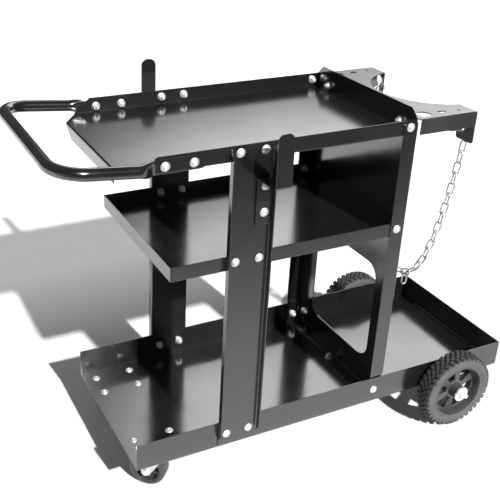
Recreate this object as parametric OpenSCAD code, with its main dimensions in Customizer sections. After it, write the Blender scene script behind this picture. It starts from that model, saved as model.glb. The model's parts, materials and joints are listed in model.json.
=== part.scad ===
// Three-tier steel service cart with a gas-bottle deck.
// Bent sheet trays hang between two channel posts and a folded rear panel.
// A bent tube handle and two swivel casters are at the front, and an axle
// with two knobbly wheels carries the bottle deck at the rear.
// Lengths are in millimetres.

/* [Trays] */
// Outside width of all three trays
tray_w = 292; // [280:2:320]
// Sheet thickness of the trays
tray_t = 1.5; // [1.2:0.1:1.8]
// Length of the bottom tray, front edge to rear wall
deck_l = 770; // [740:5:840]
// Height of the bottom tray walls
deck_wall = 52; // [46:1:60]
// Height of the side walls of the two upper trays
rim_wall = 25.5; // [22:0.5:30]
// Height of the rear wall of the top tray
top_rear_wall = 41; // [36:1:50]
// Setback of the middle tray from the front of the deck
mid_front = 55; // [40:1:80]
// Underside of the middle tray above the deck underside
mid_z = 343; // [320:1:360]
// Underside of the top tray above the deck underside
top_z = 523; // [500:1:540]

/* [Posts and rear panel] */
// Width of the channel posts along the cart
post_w = 75; // [70:1:85]
// Front edge of the posts
post_x = 147; // [130:1:170]
// Depth of the post flanges
post_flange = 12.5; // [10:0.5:16]
// Sheet thickness of posts, rear panel and bottle yoke
frame_t = 2; // [1.8:0.1:2.5]
// Front face of the rear panel
panel_x = 484; // [470:1:500]
// Depth of the rear panel side flanges
panel_flange = 27; // [22:1:30]
// Width of the window in the rear panel
window_w = 188; // [150:2:200]
// Height of the window in the rear panel
window_h = 197; // [150:1:210]
// Corner radius of the window
window_r = 28; // [15:1:35]

/* [Bottle yoke and chain] */
// Reach of the bottle yoke behind the rear panel
yoke_reach = 124; // [110:1:140]
// Radius of the bottle seat cut into the yoke
seat_r = 107; // [90:1:110]
// Wire diameter of the chain
wire_d = 3; // [2.6:0.1:3.2]
// Pitch of the chain links
link_pitch = 21.3; // [19:0.1:22]
// Number of hanging links, an odd number
link_n = 35; // [29:2:39]

/* [Handle and cable hooks] */
// Outside diameter of the handle tube
tube_d = 19; // [16:1:22]
// Reach of the handle in front of the deck edge
handle_reach = 116; // [90:2:140]
// Centreline radius of the handle bends
handle_bend = 45; // [35:1:60]
// Width of the cable hook strips
hook_w = 27; // [20:1:32]
// Depth of the cable hook shelves
hook_depth = 55; // [40:1:65]
// Height of the cable hook uprights
hook_rise = 83; // [60:1:90]
// How much higher the far hook is bolted than the near one
far_hook_lift = 10; // [0:1:12]

/* [Rear wheels] */
// Tyre radius over the lugs
tyre_r = 75; // [70:0.5:76]
// Tyre width
tyre_w = 35; // [30:1:38]
// Axle radius
axle_r = 5.9; // [5.5:0.1:6.2]
// Number of tread lugs round the tyre
lug_n = 38; // [16:2:40]
// Axle position along the deck
axle_x = 645; // [600:1:680]

/* [Casters] */
// Caster wheel radius
caster_r = 32.6; // [30:0.1:33]
// Caster wheel width
caster_w = 32; // [22:1:32]
// Trail of the caster wheel behind its swivel
caster_trail = 13; // [12:1:18]
// Swivel angle of the near caster
near_swivel = 137; // [0:1:359]
// Swivel angle of the far caster
far_swivel = 118; // [0:1:359]

/* [Hidden] */
$fn = 48;

hw = tray_w / 2;
floor_gap = 81;                       // deck underside above the ground
wheel_z = tyre_r - floor_gap;         // rear axle height in the deck frame
tube_r = tube_d / 2;
x_lo = -handle_reach - tube_r;
x_hi = deck_l;
x_mid = (x_lo + x_hi) / 2;
bolt_r = 3;
hole_r = 3.3;
post_bx = [post_x + 16.5, post_x + 58.5];
post_bz = [26, mid_z + 14, top_z + 14];
panel_bx = panel_x - 14;
hook_z = top_z - 27;                  // top face of the hook shelf
bracket_by = 105;
handle_bx = [44, 89];
handle_z = top_z + 10.7;
caster_x = 56;
caster_y = 97;
caster_bx = 33.5;
caster_by = 23;
lip_x = -18;                          // fold line of the front tongue
lip_half = 110;
end_x = panel_x + yoke_reach;         // rear face of the bottle yoke
key_y = 120;                          // chain keyholes
key_z = top_z + 7;
neck_z = top_z - 18 - wire_d / 2 + 2.75;  // round bottom of the keyhole neck
link_c = 5.6;                         // wire centre to link centreline
chain_z = top_z - 18 + 1.65;          // first joint, just above the end link's lower wire
pivot_z = top_z - 18 + link_c;        // swing axis of the chain
chain_x = end_x + 8;
loose_i = 16;

// Cart frame to row frame: origin under the middle of the bounding box
module place() translate([-x_mid, 0, floor_gap]) children();
// Mirror a near-side child to the far side
module side(s) { if (s > 0) mirror([0, 1, 0]) children(); else children(); }

// ---- fasteners, built head up on z = 0 with the shank going down ----
module dome_bolt(len) {
  union() {
    rotate_extrude() intersection() {
      translate([0, -5.4]) circle(r = 9.2, $fn = 96);
      square([7.4, 6]);
    }
    translate([0, 0, -len]) cylinder(r = bolt_r, h = len + 0.5);
  }
}
module flange_nut() {
  translate([0, 0, -6.2]) difference() {
    union() {
      cylinder(r = 5.77, h = 6, $fn = 6);
      translate([0, 0, 5]) cylinder(r = 7, h = 1.2);
    }
    translate([0, 0, -1]) cylinder(r = bolt_r + 0.1, h = 9);
  }
}
// Heads point along -y on the near side
module to_near() rotate([90, 0, 0]) children();
module hole_y(x, z, r = hole_r) translate([x, 0, z]) rotate([90, 0, 0])
  cylinder(r = r, h = 2 * hw + 60, center = true);

// ---- trays ----
module bottom_tray() place() color([0.05, 0.05, 0.055]) difference() {
  union() {
    translate([0, -hw, 0]) cube([deck_l, tray_w, tray_t]);
    for (s = [-1, 1]) side(s)
      translate([0, -hw, 0]) cube([deck_l, tray_t, deck_wall]);
    translate([deck_l - tray_t, -hw, 0]) cube([tray_t, tray_w, deck_wall]);
  }
  for (x = post_bx) hole_y(x, post_bz[0]);
  hole_y(panel_bx, post_bz[0]);
  translate([panel_bx, 0, -1]) cylinder(r = hole_r, h = 5);
  for (s = [-1, 1], i = [-1, 1], j = [-1, 1])
    translate([caster_x + i * caster_bx, s * caster_y + j * caster_by, -1])
      cylinder(r = hole_r, h = 5);
}
module middle_tray() place() color([0.05, 0.05, 0.055]) difference() {
  translate([mid_front, 0, mid_z]) union() {
    translate([0, -hw, 0]) cube([panel_x - mid_front, tray_w, tray_t]);
    for (s = [-1, 1]) side(s)
      translate([0, -hw, 0]) cube([panel_x - mid_front, tray_t, rim_wall]);
    translate([0, -hw, 0]) cube([tray_t, tray_w, rim_wall]);
  }
  for (x = post_bx) hole_y(x, post_bz[1]);
  hole_y(panel_bx, post_bz[1]);
}
module top_tray() place() color([0.05, 0.05, 0.055]) difference() {
  union() {
    translate([6.5, -hw, top_z]) cube([panel_x - 6.5, tray_w, tray_t]);
    // side walls with slanted front ends
    for (s = [-1, 1]) side(s)
      translate([0, -hw + tray_t, top_z]) rotate([90, 0, 0])
        linear_extrude(tray_t) polygon([[6.5, 0], [panel_x, 0],
          [panel_x, rim_wall], [33, rim_wall], [6.5, tray_t]]);
    // tall rear wall with chamfered ends
    translate([panel_x, 0, top_z]) rotate([0, -90, 0]) linear_extrude(tray_t)
      polygon([[0, -hw], [rim_wall, -hw], [top_rear_wall, -hw + 17],
        [top_rear_wall, hw - 17], [rim_wall, hw], [0, hw]]);
    // front tongue, then a flange folded down and slightly back under it
    translate([0, 0, top_z]) linear_extrude(tray_t)
      polygon([[6.5, -hw], [7, -hw + 3], [7, hw - 3], [6.5, hw], [lip_x, lip_half], [lip_x, -lip_half]]);
    translate([lip_x + 0.2, 0, top_z + tray_t - 0.4]) rotate([0, 79, 0]) linear_extrude(tray_t)
      polygon([[0, -lip_half], [0, lip_half], [29, lip_half - 12], [29, -lip_half + 12]]);
  }
  for (x = post_bx) hole_y(x, post_bz[2]);
  for (x = handle_bx) hole_y(x, handle_z);
  hole_y(panel_bx, post_bz[2]);
  for (s = [-1, 1]) translate([panel_x - 5, s * bracket_by, top_z + 12])
    rotate([0, 90, 0]) cylinder(r = hole_r, h = 10);
}

// ---- posts: channels whose flanges point outwards ----
module post(dz = 0) {
  h = top_z + rim_wall - 6;
  difference() {
    union() {
      translate([post_x, -hw - frame_t, 4]) cube([post_w, frame_t, h - 4]);
      for (x = [post_x, post_x + post_w - frame_t])
        translate([x, -hw - frame_t, 0]) rotate([90, 0, 90])
          linear_extrude(frame_t) polygon([[frame_t, 19], [-2, 19],
            [-post_flange + frame_t, 27], [-post_flange + frame_t, h - 13],
            [-1, h - 1], [frame_t, h - 1]]);
    }
    for (x = post_bx, z = post_bz) hole_y(x, z);
    for (z = [hook_z - 16 + dz, hook_z - 60 + dz]) hole_y(post_x + 60.5, z);
  }
}
module post_near() place() color([0.06, 0.06, 0.065]) post();
// the far post is the same part turned end for end
module turned() translate([2 * post_x + post_w, 0, 0]) rotate([0, 0, 180]) children();
module post_far() place() color([0.06, 0.06, 0.065]) turned() post(far_hook_lift);

// ---- rear panel: a channel open to the front with a window ----
module rear_panel() place() color([0.05, 0.05, 0.055]) {
  top = top_z + 20;
  jog = deck_wall + 4;
  wl = 57;
  difference() {
    union() {
      translate([panel_x, -hw - frame_t, jog]) cube([frame_t, tray_w + 2 * frame_t, top - jog]);
      translate([panel_x, -hw + tray_t, tray_t]) cube([frame_t, tray_w - 2 * tray_t, jog - tray_t]);
      for (s = [-1, 1]) side(s) {
        translate([panel_x - panel_flange, -hw - frame_t, jog])
          cube([panel_flange + frame_t, frame_t, top - jog]);
        translate([panel_x - panel_flange, -hw + tray_t, tray_t])
          cube([panel_flange + frame_t, frame_t, jog + 4 - tray_t]);
        // joggle that steps the flange inside the deck wall
        translate([panel_x - panel_flange, -hw - frame_t, jog])
          cube([panel_flange + frame_t, 2 * frame_t + tray_t, 4]);
      }
      translate([panel_x - panel_flange, -hw + tray_t, tray_t])
        cube([panel_flange + frame_t, tray_w - 2 * tray_t, frame_t]);
    }
    translate([panel_x - 2, 0, wl]) rotate([90, 0, 90]) linear_extrude(frame_t + 4) union() {
      translate([-window_w / 2 + window_r, 0]) square([window_w - 2 * window_r, window_h]);
      translate([-window_w / 2, window_r]) square([window_w, window_h - 2 * window_r]);
      for (i = [-1, 1], j = [0, 1])
        translate([i * (window_w / 2 - window_r), j ? window_h - window_r : window_r])
          circle(r = window_r, $fn = 64);
    }
    for (z = post_bz) hole_y(panel_bx, z);
    translate([panel_bx, 0, 0]) cylinder(r = hole_r, h = 8);
    for (s = [-1, 1]) translate([panel_x - 5, s * bracket_by, top_z + 12])
      rotate([0, 90, 0]) cylinder(r = hole_r, h = 12);
  }
}

// ---- bottle yoke ----
module tank_bracket() place() color([0.08, 0.08, 0.085]) {
  x0 = panel_x + frame_t;
  zt = top_z + 24.5;
  difference() {
    union() {
      translate([x0, -hw - frame_t, zt - frame_t]) cube([end_x - x0, tray_w + 2 * frame_t, frame_t]);
      translate([x0, -hw - frame_t + 4, zt - 26]) cube([frame_t, tray_w + 2 * frame_t - 8, 26]);
      for (s = [-1, 1]) side(s) {
        translate([x0 + 3, -hw - frame_t, zt - 26]) cube([end_x - x0 - 3, frame_t, 26]);
        translate([end_x - frame_t, -hw - frame_t, zt - 58]) cube([frame_t, 45, 58]);
      }
    }
    translate([629, 0, zt - 4]) cylinder(r = seat_r, h = 8, $fn = 128);
    for (s = [-1, 1]) {
      // rod holder hole, slot and hose hook hole
      translate([panel_x + 28, s * 125, zt - 4]) cylinder(r = 12, h = 8);
      translate([panel_x + 62, s * 126, zt - 4]) cylinder(r = 4, h = 8);
      translate([panel_x + 68, s * 126, zt - 4]) cylinder(r = 4, h = 8);
      translate([panel_x + 62, s * 126 - 4, zt - 4]) cube([6, 8, 8]);
      translate([panel_x + 98, s * 129, zt - 4]) cylinder(r = 2.6, h = 8);
      // chain keyhole
      translate([end_x - 5, s * key_y, key_z]) rotate([0, 90, 0]) cylinder(r = 8, h = 10);
      translate([end_x - 5, s * key_y - 2.75, neck_z]) cube([10, 5.5, key_z - neck_z]);
      translate([end_x - 5, s * key_y, neck_z]) rotate([0, 90, 0]) cylinder(r = 2.75, h = 10);
      translate([panel_x - 1, s * bracket_by, top_z + 12]) rotate([0, 90, 0]) cylinder(r = hole_r, h = 10);
    }
  }
}

// ---- cable hooks: one strip bent twice ----
module hook() {
  t = 3;
  x = post_x + post_w - frame_t - 0.3 - hook_w;
  y0 = -hw - frame_t;
  difference() {
    union() {
      translate([x, y0 - t, hook_z - 82]) cube([hook_w, t, 82]);
      translate([x, y0 - hook_depth, hook_z - t]) cube([hook_w, hook_depth, t]);
      translate([x, y0 - hook_depth + t, hook_z - t]) rotate([90, 0, 0]) linear_extrude(t) union() {
        square([hook_w, hook_rise + t - 12]);
        translate([12, 0]) square([hook_w - 24, hook_rise + t]);
        for (i = [12, hook_w - 12]) translate([i, hook_rise + t - 12]) circle(r = 12, $fn = 64);
      }
    }
    for (z = [hook_z - 16, hook_z - 60]) hole_y(post_x + 60.5, z);
  }
}
module hook_near() place() color([0.05, 0.05, 0.055]) hook();
module hook_far() place() color([0.05, 0.05, 0.055]) turned() translate([0, 0, far_hook_lift]) hook();

// ---- handle ----
module handle() place() color([0.04, 0.04, 0.045]) {
  rise = 0.1;                       // the grip lifts 100 mm in a metre
  x1 = 6;                           // end of the round tube
  bend_r = tube_r - 0.05;           // bending draws the tube down slightly
  cy = hw + 11.5;
  z1 = handle_z + 1.5;
  run = (x1 + handle_reach) / cos(atan(rise));
  difference() {
    union() {
      translate([x1, 0, z1]) rotate([0, atan(rise), 0]) {
        for (s = [-1, 1]) side(s) {
          translate([-run + handle_bend, -cy, 0]) rotate([0, 90, 0]) cylinder(r = bend_r, h = run - handle_bend - 1.5);
          translate([-run + handle_bend, -cy + handle_bend, 0]) rotate([0, 0, 180])
            rotate_extrude(angle = 90) translate([handle_bend, 0]) circle(r = bend_r);
        }
        translate([-run, 0, 0]) rotate([90, 0, 0]) cylinder(r = tube_r, h = 2 * (cy - handle_bend), center = true);
      }
      for (s = [-1, 1]) side(s) {
        // pressed transition from round to flat
        hull() {
          translate([x1, -cy, z1]) rotate([0, 90 + atan(rise), 0]) translate([0, 0, -3]) cylinder(r = tube_r + 0.6, h = 3, $fn = 32);
          translate([x1 + 26, -hw - 3, handle_z - 11]) cube([0.5, 3, 22]);
        }
        translate([x1 + 26, -hw - 3, handle_z - 11]) cube([handle_bx[1] + 10 - x1 - 26, 3, 22]);
        translate([handle_bx[1] + 10, -hw, handle_z]) rotate([90, 0, 0]) cylinder(r = 11, h = 3);
      }
    }
    for (x = handle_bx) hole_y(x, handle_z);
    // bore of the tube
    translate([x1, 0, z1]) rotate([0, atan(rise), 0]) {
      for (s = [-1, 1]) side(s) {
        translate([-run + handle_bend, -cy, 0]) rotate([0, 90, 0]) cylinder(r = bend_r - 1.55, h = run - handle_bend - 6);
        translate([-run + handle_bend, -cy + handle_bend, 0]) rotate([0, 0, 180])
          rotate_extrude(angle = 90) translate([handle_bend, 0]) circle(r = bend_r - 1.55);
      }
      translate([-run, 0, 0]) rotate([90, 0, 0]) cylinder(r = tube_r - 1.5, h = 2 * (cy - handle_bend), center = true);
    }
  }
}

// ---- fastener groups ----
zinc = [0.78, 0.79, 0.8];
module post_set() for (x = post_bx, z = post_bz) translate([x, -hw - frame_t, z]) to_near() children();
module post_bolts() place() color(zinc) { post_set() dome_bolt(14); turned() post_set() dome_bolt(14); }
module post_nuts() place() color(zinc) {
  post_set() translate([0, 0, -frame_t - tray_t]) flange_nut();
  turned() post_set() translate([0, 0, -frame_t - tray_t]) flange_nut();
}
module hook_set() for (z = [hook_z - 16, hook_z - 60])
  translate([post_x + 60.5, -hw - frame_t - 3, z]) to_near() children();
module hook_bolts() place() color(zinc) { hook_set() dome_bolt(14); translate([0, 0, far_hook_lift]) turned() hook_set() dome_bolt(14); }
module hook_nuts() place() color(zinc) {
  hook_set() translate([0, 0, -frame_t - 3]) flange_nut();
  translate([0, 0, far_hook_lift]) turned() hook_set() translate([0, 0, -frame_t - 3]) flange_nut();
}
module panel_bolts() place() color(zinc) {
  for (s = [-1, 1]) side(s) {
    for (z = [post_bz[1], post_bz[2]]) translate([panel_bx, -hw - frame_t, z]) to_near() dome_bolt(14);
    translate([panel_bx, -hw, post_bz[0]]) to_near() dome_bolt(14);
  }
  translate([panel_bx, 0, 0]) rotate([180, 0, 0]) dome_bolt(14);
}
module panel_nuts() place() color(zinc) {
  for (s = [-1, 1]) side(s) for (z = post_bz)
    translate([panel_bx, -hw - (z == post_bz[0] ? 0 : frame_t), z]) to_near()
      translate([0, 0, -frame_t - tray_t]) flange_nut();
  translate([panel_bx, 0, tray_t + frame_t]) rotate([180, 0, 0]) flange_nut();
}
module yoke_set() for (s = [-1, 1]) translate([panel_x + 2 * frame_t, s * bracket_by, top_z + 12])
  rotate([0, 90, 0]) children();
module bracket_bolts() place() color(zinc) yoke_set() dome_bolt(16);
module bracket_nuts() place() color(zinc) yoke_set() translate([0, 0, -2 * frame_t - tray_t]) flange_nut();
module handle_set() for (s = [-1, 1], x = handle_bx) side(s) translate([x, -hw - 3, handle_z]) to_near() children();
module handle_bolts() place() color(zinc) handle_set() dome_bolt(15);
module handle_nuts() place() color(zinc) handle_set() translate([0, 0, -3 - tray_t]) flange_nut();
module caster_set() for (s = [-1, 1], i = [-1, 1], j = [-1, 1])
  translate([caster_x + i * caster_bx, s * caster_y + j * caster_by, tray_t]) children();
module caster_bolts() place() color(zinc) caster_set() dome_bolt(12.5);
module caster_nuts() place() color(zinc) caster_set() translate([0, 0, -tray_t - 2.5]) flange_nut();

// ---- rear axle and wheels ----
wy0 = hw + 4.5;                        // inner face of the wheel
module axle() place() color(zinc) translate([axle_x, 0, wheel_z]) difference() {
  union() {
    rotate([90, 0, 0]) cylinder(r = axle_r, h = 2 * (hw + 51), center = true);
    for (s = [-1, 1]) side(s) translate([0, -hw - 51, 0]) rotate([90, 0, 0]) cylinder(r1 = axle_r, r2 = axle_r - 1, h = 1);
  }
  for (s = [-1, 1]) side(s) translate([0, -hw - 47.5, 0]) rotate([0, 90 + 32, 0]) cylinder(r = 1.8, h = 20, center = true);
}
module axle_bracket() color([0.05, 0.05, 0.055]) translate([axle_x, -hw + 6, 0]) rotate([90, 0, 0])
  translate([0, 0, -40]) linear_extrude(40) difference() {
    union() {
      translate([-26, -2]) square([52, 2]);
      translate([0, wheel_z]) circle(r = axle_r + 2.6, $fn = 64);
      translate([-axle_r - 2.6, wheel_z]) square([2 * axle_r + 5.2, -wheel_z]);
    }
    translate([0, wheel_z]) circle(r = axle_r + 0.1, $fn = 64);
    translate([-axle_r - 0.1, wheel_z]) square([2 * axle_r + 0.2, -wheel_z + 1]);
    translate([-30, 0]) square([60, 10]);
  }
module axle_bracket_near() place() axle_bracket();
module axle_bracket_far() place() side(1) axle_bracket();
module wheel_washers() place() color(zinc) for (s = [-1, 1]) side(s)
  for (w = [[wy0 - 2.3, 10], [wy0 + tyre_w + 4.3, 15]])
    translate([axle_x, -w[0], wheel_z]) rotate([90, 0, 0]) difference() {
      cylinder(r = w[1], h = 2);
      translate([0, 0, -1]) cylinder(r = axle_r + 0.15, h = 4);
    }
// split pin: a round shank with an eye, and two legs spread behind
module cotter_pins() place() color(zinc) for (s = [-1, 1]) side(s)
  translate([axle_x, -hw - 47.5, wheel_z]) rotate([0, 32, 0]) {
    translate([-10, 0, 0]) rotate([0, 90, 0]) cylinder(r = 1.5, h = 21, $fn = 24);
    translate([14, 0, 0]) rotate([90, 0, 0]) rotate_extrude() translate([3, 0]) circle(r = 1.3, $fn = 24);
    for (a = [-28, 28]) translate([-9.6, 0, 0]) rotate([0, a, 0]) rotate([0, -90, 0]) cylinder(r = 1.05, h = 9, $fn = 24);
  }
module wheel_at(s) place() side(s) translate([axle_x, -wy0, wheel_z]) rotate([90, 0, 0]) children();
module tyre() color([0.1, 0.1, 0.1]) difference() {
  rotate_extrude($fn = 96) polygon([[55.3, 1.5], [60, 0.6], [67, 0], [72.2, 0.9], [tyre_r - 1, 2.6],
    [tyre_r, 4.4], [tyre_r, 11.5], [tyre_r - 4, 11.9], [tyre_r - 4, 14.6], [tyre_r, 15],
    [tyre_r, tyre_w - 15], [tyre_r - 4, tyre_w - 14.6], [tyre_r - 4, tyre_w - 11.9],
    [tyre_r, tyre_w - 11.5], [tyre_r, tyre_w - 4.4], [tyre_r - 1, tyre_w - 2.6], [72.2, tyre_w - 0.9],
    [67, tyre_w], [60, tyre_w - 0.6], [55.3, tyre_w - 1.5]]);
  for (i = [0 : lug_n - 1]) rotate([0, 0, i * 360 / lug_n]) {
    translate([tyre_r - 3, -2, -1]) cube([8, 4, 14.2]);
    translate([tyre_r - 3, -2, tyre_w - 13.2]) cube([8, 4, 14.2]);
  }
}
module rim() color([0.07, 0.07, 0.07]) difference() {
  union() {
    rotate_extrude($fn = 96) polygon([[51, 1], [55.3, 1], [55.3, tyre_w - 1], [51, tyre_w - 1],
      [50, tyre_w - 4], [49, 16], [49, 4]]);
    rotate_extrude($fn = 96) polygon([[9, 0], [15, 0], [15, 9], [20, 12], [49.5, 9], [49.5, 14],
      [22, 20], [15, tyre_w + 3], [9, tyre_w + 3]]);
  }
  for (i = [0 : 5]) rotate([0, 0, 52 + i * 60]) translate([0, 0, 2]) linear_extrude(22)
    polygon([[20, -2.6], [47.5, -13], [48.8, -7], [49, 0], [48.8, 7], [47.5, 13], [20, 2.6]]);
}
module bushing() color([0.85, 0.85, 0.82]) difference() {
  cylinder(r = 9, h = tyre_w + 3.5);
  translate([0, 0, -1]) cylinder(r = axle_r + 0.07, h = tyre_w + 6);
}
module tyre_near() wheel_at(-1) tyre();
module tyre_far() wheel_at(1) tyre();
module rim_near() wheel_at(-1) rim();
module rim_far() wheel_at(1) rim();
module bushing_near() wheel_at(-1) bushing();
module bushing_far() wheel_at(1) bushing();

// ---- casters, built round the swivel axis at the deck underside ----
module caster_at(s) place() translate([caster_x, s * caster_y, 0]) children();
module caster_plate() color(zinc) difference() {
  union() {
    translate([-42, -31, -2.5]) cube([84, 62, 2.5]);
    translate([0, 0, -5]) cylinder(r = 20, h = 3);
  }
  for (i = [-1, 1], j = [-1, 1]) translate([i * caster_bx, j * caster_by, -4]) cylinder(r = hole_r, h = 6);
  translate([0, 0, -7.2]) rotate_extrude() translate([15, 0]) circle(r = 2.7, $fn = 32);
  translate([0, 0, -9]) cylinder(r = 5.05, h = 12);
}
module kingpin() color(zinc) union() {
  translate([0, 0, -14.4]) cylinder(r = 5, h = 14.2);
  translate([0, 0, -15.8]) cylinder(r = 7.5, h = 1.8);
}
module race_balls() color([0.85, 0.85, 0.86]) for (i = [0 : 13]) rotate([0, 0, i * 360 / 14])
  translate([15, 0, -7.2]) sphere(r = 2.5, $fn = 24);
module fork() color([0.8, 0.8, 0.82]) {
  az = -floor_gap + caster_r;
  half = caster_w / 2 + 1.2;
  difference() {
    union() {
      translate([0, 0, -13.6]) cylinder(r = 22, h = 4.2);
      translate([-20, -half - 2.5, -13.6]) cube([40, 2 * half + 5, 2.6]);
      for (j = [-1, 1]) translate([0, j * (half + 1.25) + 1.25, 0]) rotate([90, 0, 0]) linear_extrude(2.5) union() {
        polygon([[-18, -11], [18, -11], [22, -16], [caster_trail + 8.4, az - 2], [caster_trail - 8, az - 3.5], [-20, -17]]);
        translate([caster_trail, az]) circle(r = 8.8, $fn = 48);
      }
    }
    translate([0, 0, -7.2]) rotate_extrude() translate([15, 0]) circle(r = 2.7, $fn = 32);
    translate([0, 0, -20]) cylinder(r = 5.08, h = 20);
    translate([caster_trail, 0, az]) rotate([90, 0, 0]) cylinder(r = 3.1, h = 60, center = true);
  }
}
module caster_axle() color(zinc) translate([caster_trail, 0, -floor_gap + caster_r]) rotate([90, 0, 0]) {
  half = caster_w / 2 + 1.2 + 2.5;
  translate([0, 0, -half - 7]) cylinder(r = 3, h = 2 * half + 7.5);
  translate([0, 0, half]) cylinder(r = 5.77, h = 4, $fn = 6);
  translate([0, 0, -half - 5.5]) difference() {
    cylinder(r = 5.77, h = 5.5, $fn = 6);
    translate([0, 0, -1]) cylinder(r = 3.1, h = 8);
  }
}
module caster_spin() translate([caster_trail, 0, -floor_gap + caster_r]) rotate([90, 0, 0]) children();
module caster_sleeve() color(zinc) caster_spin() difference() {
  cylinder(r = 5, h = caster_w + 2.2, center = true);
  cylinder(r = 3.05, h = caster_w + 5, center = true);
}
module caster_hub() color([0.12, 0.12, 0.12]) caster_spin() rotate_extrude($fn = 64)
  polygon([[5.07, -caster_w / 2], [9, -caster_w / 2], [10, -5], [20.5, -4], [21.5, -14], [24, -14],
    [24, 14], [21.5, 14], [20.5, 4], [10, 5], [9, caster_w / 2], [5.07, caster_w / 2]]);
module caster_tread() color([0.16, 0.16, 0.16]) caster_spin() rotate_extrude($fn = 96)
  polygon([[24, -caster_w / 2 + 1], [26, -caster_w / 2], [29, -caster_w / 2 + 0.8], [31, -caster_w / 2 + 3.5],
    [caster_r, -caster_w / 2 + 7], [caster_r, caster_w / 2 - 7], [31, caster_w / 2 - 3.5],
    [29, caster_w / 2 - 0.8], [26, caster_w / 2], [24, caster_w / 2 - 1]]);
module near_c() caster_at(-1) rotate([0, 0, near_swivel]) children();
module far_c() caster_at(1) rotate([0, 0, far_swivel]) children();
module caster_plate_near() caster_at(-1) caster_plate();
module caster_plate_far() caster_at(1) caster_plate();
module kingpin_near() caster_at(-1) kingpin();
module kingpin_far() caster_at(1) kingpin();
module race_balls_near() near_c() race_balls();
module race_balls_far() far_c() race_balls();
module caster_fork_near() near_c() fork();
module caster_fork_far() far_c() fork();
module caster_axle_near() near_c() caster_axle();
module caster_axle_far() far_c() caster_axle();
module caster_sleeve_near() near_c() caster_sleeve();
module caster_sleeve_far() far_c() caster_sleeve();
module caster_hub_near() near_c() caster_hub();
module caster_hub_far() far_c() caster_hub();
module caster_tread_near() near_c() caster_tread();
module caster_tread_far() far_c() caster_tread();

// ---- chain ----
// Joints lie on a catenary y = a cosh(t / a) through both ends at equal arc steps
function sag_len(a) = 2 * a * sinh_(key_y / a);
function sinh_(v) = (exp(v) - exp(-v)) / 2;
function asinh_(v) = ln(v + sqrt(v * v + 1));
function find_a(lo, hi, n) = n == 0 ? (lo + hi) / 2 :
  let (m = (lo + hi) / 2) sag_len(m) > link_n * link_pitch ? find_a(m, hi, n - 1) : find_a(lo, m, n - 1);
cat_a = find_a(20, 200, 40);
function joint_y(i) = cat_a * asinh_((i - link_n / 2) * link_pitch / cat_a);
function cosh_(v) = (exp(v) + exp(-v)) / 2;
function joint_z(i) = chain_z + cat_a * (cosh_(joint_y(i) / cat_a) - cosh_(key_y / cat_a));
slack = 0.5;
// one link along x, flat in the xy plane, with its joints len apart
module link(len) {
  st = (len + wire_d + slack) / 2 - link_c;
  e = 0.02;
  union() {
    for (j = [-1, 1]) translate([-st - e, j * link_c, 0]) rotate([0, 90, 0]) cylinder(r = wire_d / 2, h = 2 * (st + e), $fn = 16);
    for (j = [0, 180]) rotate([0, 0, j]) translate([st, 0, 0]) rotate([0, 0, -90])
      rotate_extrude(angle = 180, $fn = 32) translate([link_c, 0]) circle(r = wire_d / 2, $fn = 16);
  }
}
// Twist of each link about the chain, none at the ends
function roll(i) = 24 * max(-1, min(1, 1.6 * sin(360 * i / (link_n - 1))));
module chain() place() color(zinc) {
  for (i = [0 : link_n - 1]) {
    y0 = joint_y(i); y1 = joint_y(i + 1); z0 = joint_z(i); z1 = joint_z(i + 1);
    len = sqrt((y1 - y0) * (y1 - y0) + (z1 - z0) * (z1 - z0));
    translate([chain_x, (y0 + y1) / 2, (z0 + z1) / 2]) rotate([atan2(z1 - z0, y1 - y0), 0, 0])
      rotate([0, 0, 90]) rotate([(i % 2 == 0 ? 90 : 0) + roll(i), 0, 0]) link(len);
  }
  // spare end link hanging from the chain
  k = loose_i;
  fy = (joint_y(k) + joint_y(k + 1)) / 2;
  fz = (joint_z(k) + joint_z(k + 1)) / 2;
  g = atan2(joint_z(k + 1) - joint_z(k), joint_y(k + 1) - joint_y(k));
  drop = (link_pitch + wire_d + slack) / 2;
  translate([chain_x - link_c * sin(roll(k)), fy + (link_c - 3.4) * sin(g), fz - (link_c - 3.4) * cos(g) - drop])
    rotate([90, 0, 0]) rotate([0, 0, 90]) link(link_pitch);
}
// Fixed end links: one stands in each keyhole, the next lies in front of the
// yoke and keeps it from pulling through
module chain_ends() place() color(zinc) for (s = [-1, 1]) {
  st = (link_pitch + wire_d + slack) / 2 - link_c;
  translate([chain_x - st, s * key_y, pivot_z]) rotate([90, 0, 0]) link(link_pitch);
  translate([chain_x - 3 * st - link_c + 3.25 - link_c, s * key_y, pivot_z]) link(link_pitch);
}

bottom_tray();
middle_tray();
top_tray();
post_near();
post_far();
rear_panel();
tank_bracket();
hook_near();
hook_far();
handle();
post_bolts();
post_nuts();
hook_bolts();
hook_nuts();
panel_bolts();
panel_nuts();
bracket_bolts();
bracket_nuts();
handle_bolts();
handle_nuts();
axle();
axle_bracket_near();
axle_bracket_far();
wheel_washers();
cotter_pins();
tyre_near();
tyre_far();
rim_near();
rim_far();
bushing_near();
bushing_far();
caster_plate_near();
caster_plate_far();
caster_bolts();
caster_nuts();
kingpin_near();
kingpin_far();
race_balls_near();
race_balls_far();
caster_fork_near();
caster_fork_far();
caster_axle_near();
caster_axle_far();
caster_sleeve_near();
caster_sleeve_far();
caster_hub_near();
caster_hub_far();
caster_tread_near();
caster_tread_far();
chain();
chain_ends();
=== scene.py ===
import json
import math
import random

import bmesh
import bpy
import numpy as np
from mathutils import Matrix, Vector
from mathutils.geometry import delaunay_2d_cdt


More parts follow.
